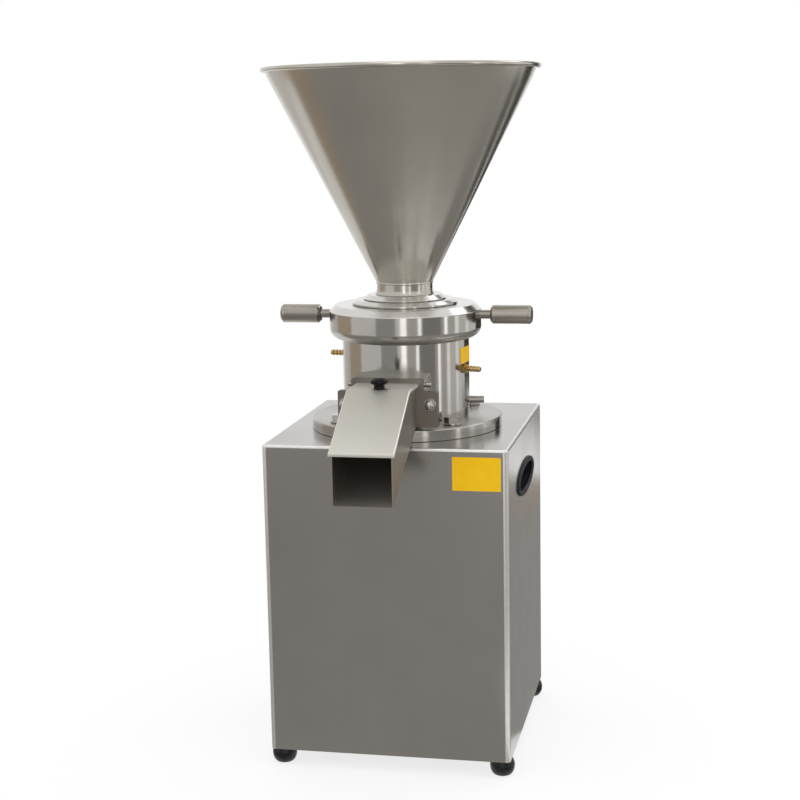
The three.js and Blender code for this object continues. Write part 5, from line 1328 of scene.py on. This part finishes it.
@dataclass
class Studio:
    """A pale floor, soft lamps, reflected screens and the camera at the photograph's angle."""

    eye: tuple[float, float, float] = (0.48359, -2.30785, 0.93404)
    yaw: float = 11.8372
    pitch: float = 9.8824
    roll: float = -1.1044
    lens: float = 73.695
    reach: float = 12  # the floor's half width in metres
    floor_white: float = 0.78  # share of plain white in the floor that the camera sees; the rest shows shadow
    dimmer: tuple[float, float] = (-0.8, -0.1)  # from the first X to the second, floor cards brighten
    dimmer_share: float = 0.88
    brown: tuple[float, float, float, float] = (1.12, 0.94, 0.74, 1)
    brown_reach: tuple[float, float] = (0.9, 1.6)  # of Y minus X, from no brown to all of it
    # Soft boxes: name, azimuth, distance, height, width and watts
    lamps: tuple[tuple[str, float, float, float, float, float], ...] = (
        ("Overhead box", 0, 0.56, 3.2, 1.2, 8), ("High right box", 127, 1.9, 2.4, 0.7, 4))
    # Bright and dim screens round the mill: first azimuth, last azimuth, distance, height and brightness
    screens: tuple[tuple[float, float, float, float, float], ...] = (
        (-150, -122, 2.6, 0.95, 0.75), (-122, -88, 2.5, 0.95, 0.52), (-88, -47, 2.5, 0.95, 0.92),
        (-45, -15, 2.5, 0.95, 0.46), (-15, -8, 2.5, 0.95, 0.95), (-8, 1, 2.5, 2.5, 2.3),
        (1, 18, 2.5, 0.95, 0.64), (18, 23, 2.5, 2.5, 2.1), (23, 53, 2.5, 0.95, 0.32),
        (53, 59, 2.5, 0.95, 0.55), (59, 64, 2.5, 2.5, 2.2), (64, 78, 2.5, 0.95, 0.65),
        (78, 85, 2.4, 0.95, 1.5), (85, 101, 2.4, 0.95, 0.85), (101, 108, 2.4, 0.95, 1.35),
        (108, 131, 3.2, 0.95, 0.95), (131, 150, 3.2, 3.0, 0.05), (150, 176, 3.2, 0.5, 0.05))
    # Cards on the floor: name, brightness, height, and corners of azimuth and distance
    cards: tuple[tuple[str, float, float, tuple[Point, ...]], ...] = (
        ("Front floor card", 0.42, 0.002, (
            (-116, 1.5), (-116, 2.5), (-60, 2.6), (-20, 2.6), (20, 2.6), (60, 2.6), (100, 2.6), (117, 2.62),
            (121, 3.15), (124, 3.15), (124, 1.9), (100, 1.15), (50, 0.72), (20, 0.62), (-2, 0.62), (14, 0.4),
            (40, 0.34), (48, 0.25), (33, 0.25), (-57, 0.25), (-100, 0.3))),
        ("Right floor card", 0.08, 0.003, (
            (124, 2.0), (124, 3.15), (176, 3.15), (176, 1.9), (159, 1.9), (157, 2.75), (151, 2.75),
            (148, 2.0), (140, 1.9))),
        ("Rear right floor card", 0.33, 0.004, (
            (50, 0.26), (82, 0.18), (126, 0.27), (170, 0.4), (168, 1.85), (140, 1.9), (112, 1.9), (100, 1.1),
            (60, 0.4))))

    def camera(self) -> None:
        """Sets the camera where the photograph was taken from."""
        data = bpy.data.cameras.new("Photo camera")
        data.sensor_width, data.lens, data.clip_end = 36, self.lens, 100
        camera = new_object("Photo camera", data)
        yaw, pitch, roll = (math.radians(angle) for angle in (self.yaw, self.pitch, self.roll))
        level = Vector((math.cos(yaw), math.sin(yaw), 0))
        ahead = Vector((-math.sin(yaw), math.cos(yaw), 0))
        forward = math.cos(pitch) * ahead - math.sin(pitch) * Vector((0, 0, 1))
        upright = level.cross(forward)
        right = math.cos(roll) * level + math.sin(roll) * upright
        up = -math.sin(roll) * level + math.cos(roll) * upright
        turn = Matrix((right, up, -forward)).transposed().to_4x4()
        camera.matrix_world = Matrix.Translation(self.eye) @ turn
        bpy.context.scene.camera = camera

    @staticmethod
    def sheet(name: str, corners: Sequence[Sequence[float]], material: bpy.types.Material) -> Object:
        """Makes one flat face of a material."""
        mesh = bpy.data.meshes.new(name)
        mesh.from_pydata(corners, [], [range(len(corners))])
        mesh.materials.append(material)
        return new_object(name, mesh)

    @staticmethod
    def direct_sight(tree: Tree) -> Socket:
        """Gives 1 for what the camera sees straight on, in a mirror or through glass."""
        path = add_node(tree, "ShaderNodeLightPath").outputs
        either = maths(tree, "MAXIMUM", path["Is Camera Ray"], path["Is Glossy Ray"])
        return maths(tree, "MAXIMUM", either, path["Is Transmission Ray"])

    def floor(self) -> None:
        """Lays the pale floor, drawn white to the camera apart from the object's shadow."""
        material = bpy.data.materials.new("Pale floor")
        tree = emptied(material)
        paint = add_node(tree, "ShaderNodeBsdfDiffuse", {"Color": linear("#e0dfdb")})
        white = add_node(tree, "ShaderNodeEmission", {"Color": (1, 1, 1, 1), "Strength": 1.0})
        lit = add_node(tree, "ShaderNodeBsdfDiffuse", {"Color": (1, 1, 1, 1)})
        seen = add_node(tree, "ShaderNodeMixShader",
                        {0: self.floor_white, 1: lit.outputs[0], 2: white.outputs[0]})
        mix = add_node(tree, "ShaderNodeMixShader",
                       {0: self.direct_sight(tree), 1: paint.outputs[0], 2: seen.outputs[0]})
        add_node(tree, "ShaderNodeOutputMaterial", {"Surface": mix.outputs[0]})
        far = self.reach
        corners = [(-far, -far, 0), (far, -far, 0), (far, far, 0), (-far, far, 0)]
        floor = self.sheet("floor", corners, material)

    def world(self) -> None:
        """Lights the room evenly, white behind the object."""
        world = bpy.data.worlds.new("Studio")
        tree = emptied(world)
        room = add_node(tree, "ShaderNodeBackground", {"Color": (1, 1, 1, 1), "Strength": 1.0})
        add_node(tree, "ShaderNodeOutputWorld", {"Surface": room.outputs[0]})
        bpy.context.scene.world = world

    def spot(self, azimuth: float, distance: float, height: float) -> Vector:
        """Gives a place round the head.

        Args:
            azimuth: Degrees from the camera's side, counter-clockwise seen from above.
            distance: Distance from the head axis in metres.
            height: Height in metres.

        Returns:
            The place in metres.
        """
        return Vector((*polar(distance, -90 + self.yaw + azimuth), height)) + Vector((0, HEAD_Y * MM, 0))

    def lamp(self, name: str, azimuth: float, distance: float, height: float, width: float,
             watts: float) -> None:
        """Hangs one soft box that faces the head."""
        data = bpy.data.lights.new(name, "AREA")
        data.shape, data.size, data.size_y, data.energy = "RECTANGLE", width, width, watts
        at, aim = self.spot(azimuth, distance, height), Vector((0, HEAD_Y * MM, 0.6))
        turn = (aim - at).to_track_quat("-Z", "Y").to_matrix().to_4x4()
        new_object(name, data).matrix_world = Matrix.Translation(at) @ turn

    def card(self, name: str, grey: float, corners: Sequence[Vector], left: float = 1.0) -> None:
        """Sets a card that only shows in reflections, as photographers do to shape metal.

        Args:
            name: The card's name.
            grey: Its brightness, 1 being white.
            corners: Its corners in order.
            left: Share of the brightness that its left side keeps.
        """
        material = bpy.data.materials.new(name)
        tree = emptied(material)
        x, y, _ = split(tree, add_node(tree, "ShaderNodeTexCoord").outputs["Object"])
        strength = mapped(tree, x, *self.dimmer, left * grey, grey)
        # Dim cards far to the left are brown, which warms the bands that they leave in the steel
        share = mapped(tree, maths(tree, "SUBTRACT", y, x), *self.brown_reach, 0, 0.1 if grey > 0.6 else 1)
        warmth = max(0.0, 1 - grey)
        tone = mixed(tree, share, (1, 1 - 0.04 * warmth, 1 - 0.1 * warmth, 1), self.brown)
        glow = add_node(tree, "ShaderNodeEmission", {"Color": tone, "Strength": strength})
        add_node(tree, "ShaderNodeOutputMaterial", {"Surface": glow.outputs[0]})
        card = self.sheet(name, corners, material)
        card.visible_camera = card.visible_diffuse = card.visible_shadow = False

    def build(self) -> None:
        """Builds the studio."""
        self.camera()
        self.floor()
        self.world()
        for lamp in self.lamps:
            self.lamp(*lamp)
        for start, end, distance, height, grey in self.screens:
            feet = [self.spot(azimuth, distance, 0.003) for azimuth in (start, end)]
            heads = [self.spot(azimuth, distance, height) for azimuth in (end, start)]
            self.card(f"Screen at {start}", grey, feet + heads)
        for name, grey, height, places in self.cards:
            self.card(name, grey, [self.spot(*at, height) for at in places], self.dimmer_share)


def main() -> None:
    """Builds the mill and its studio in order."""
    logging.basicConfig(level=logging.INFO, format="%(name)s: %(message)s")
    bpy.context.scene.view_settings.view_transform = "Standard"
    assemblies: tuple[Assembly, ...] = (Studio(), Cabinet(), Motor(), GrindingHead(), Chute(),
                                        AdjustingRing(), StatorCarrier(), Rotor(), Hopper())
    for assembly in assemblies:
        LOG.info("building %s", type(assembly).__name__)
        assembly.build()


if __name__ == "__main__":
    main()
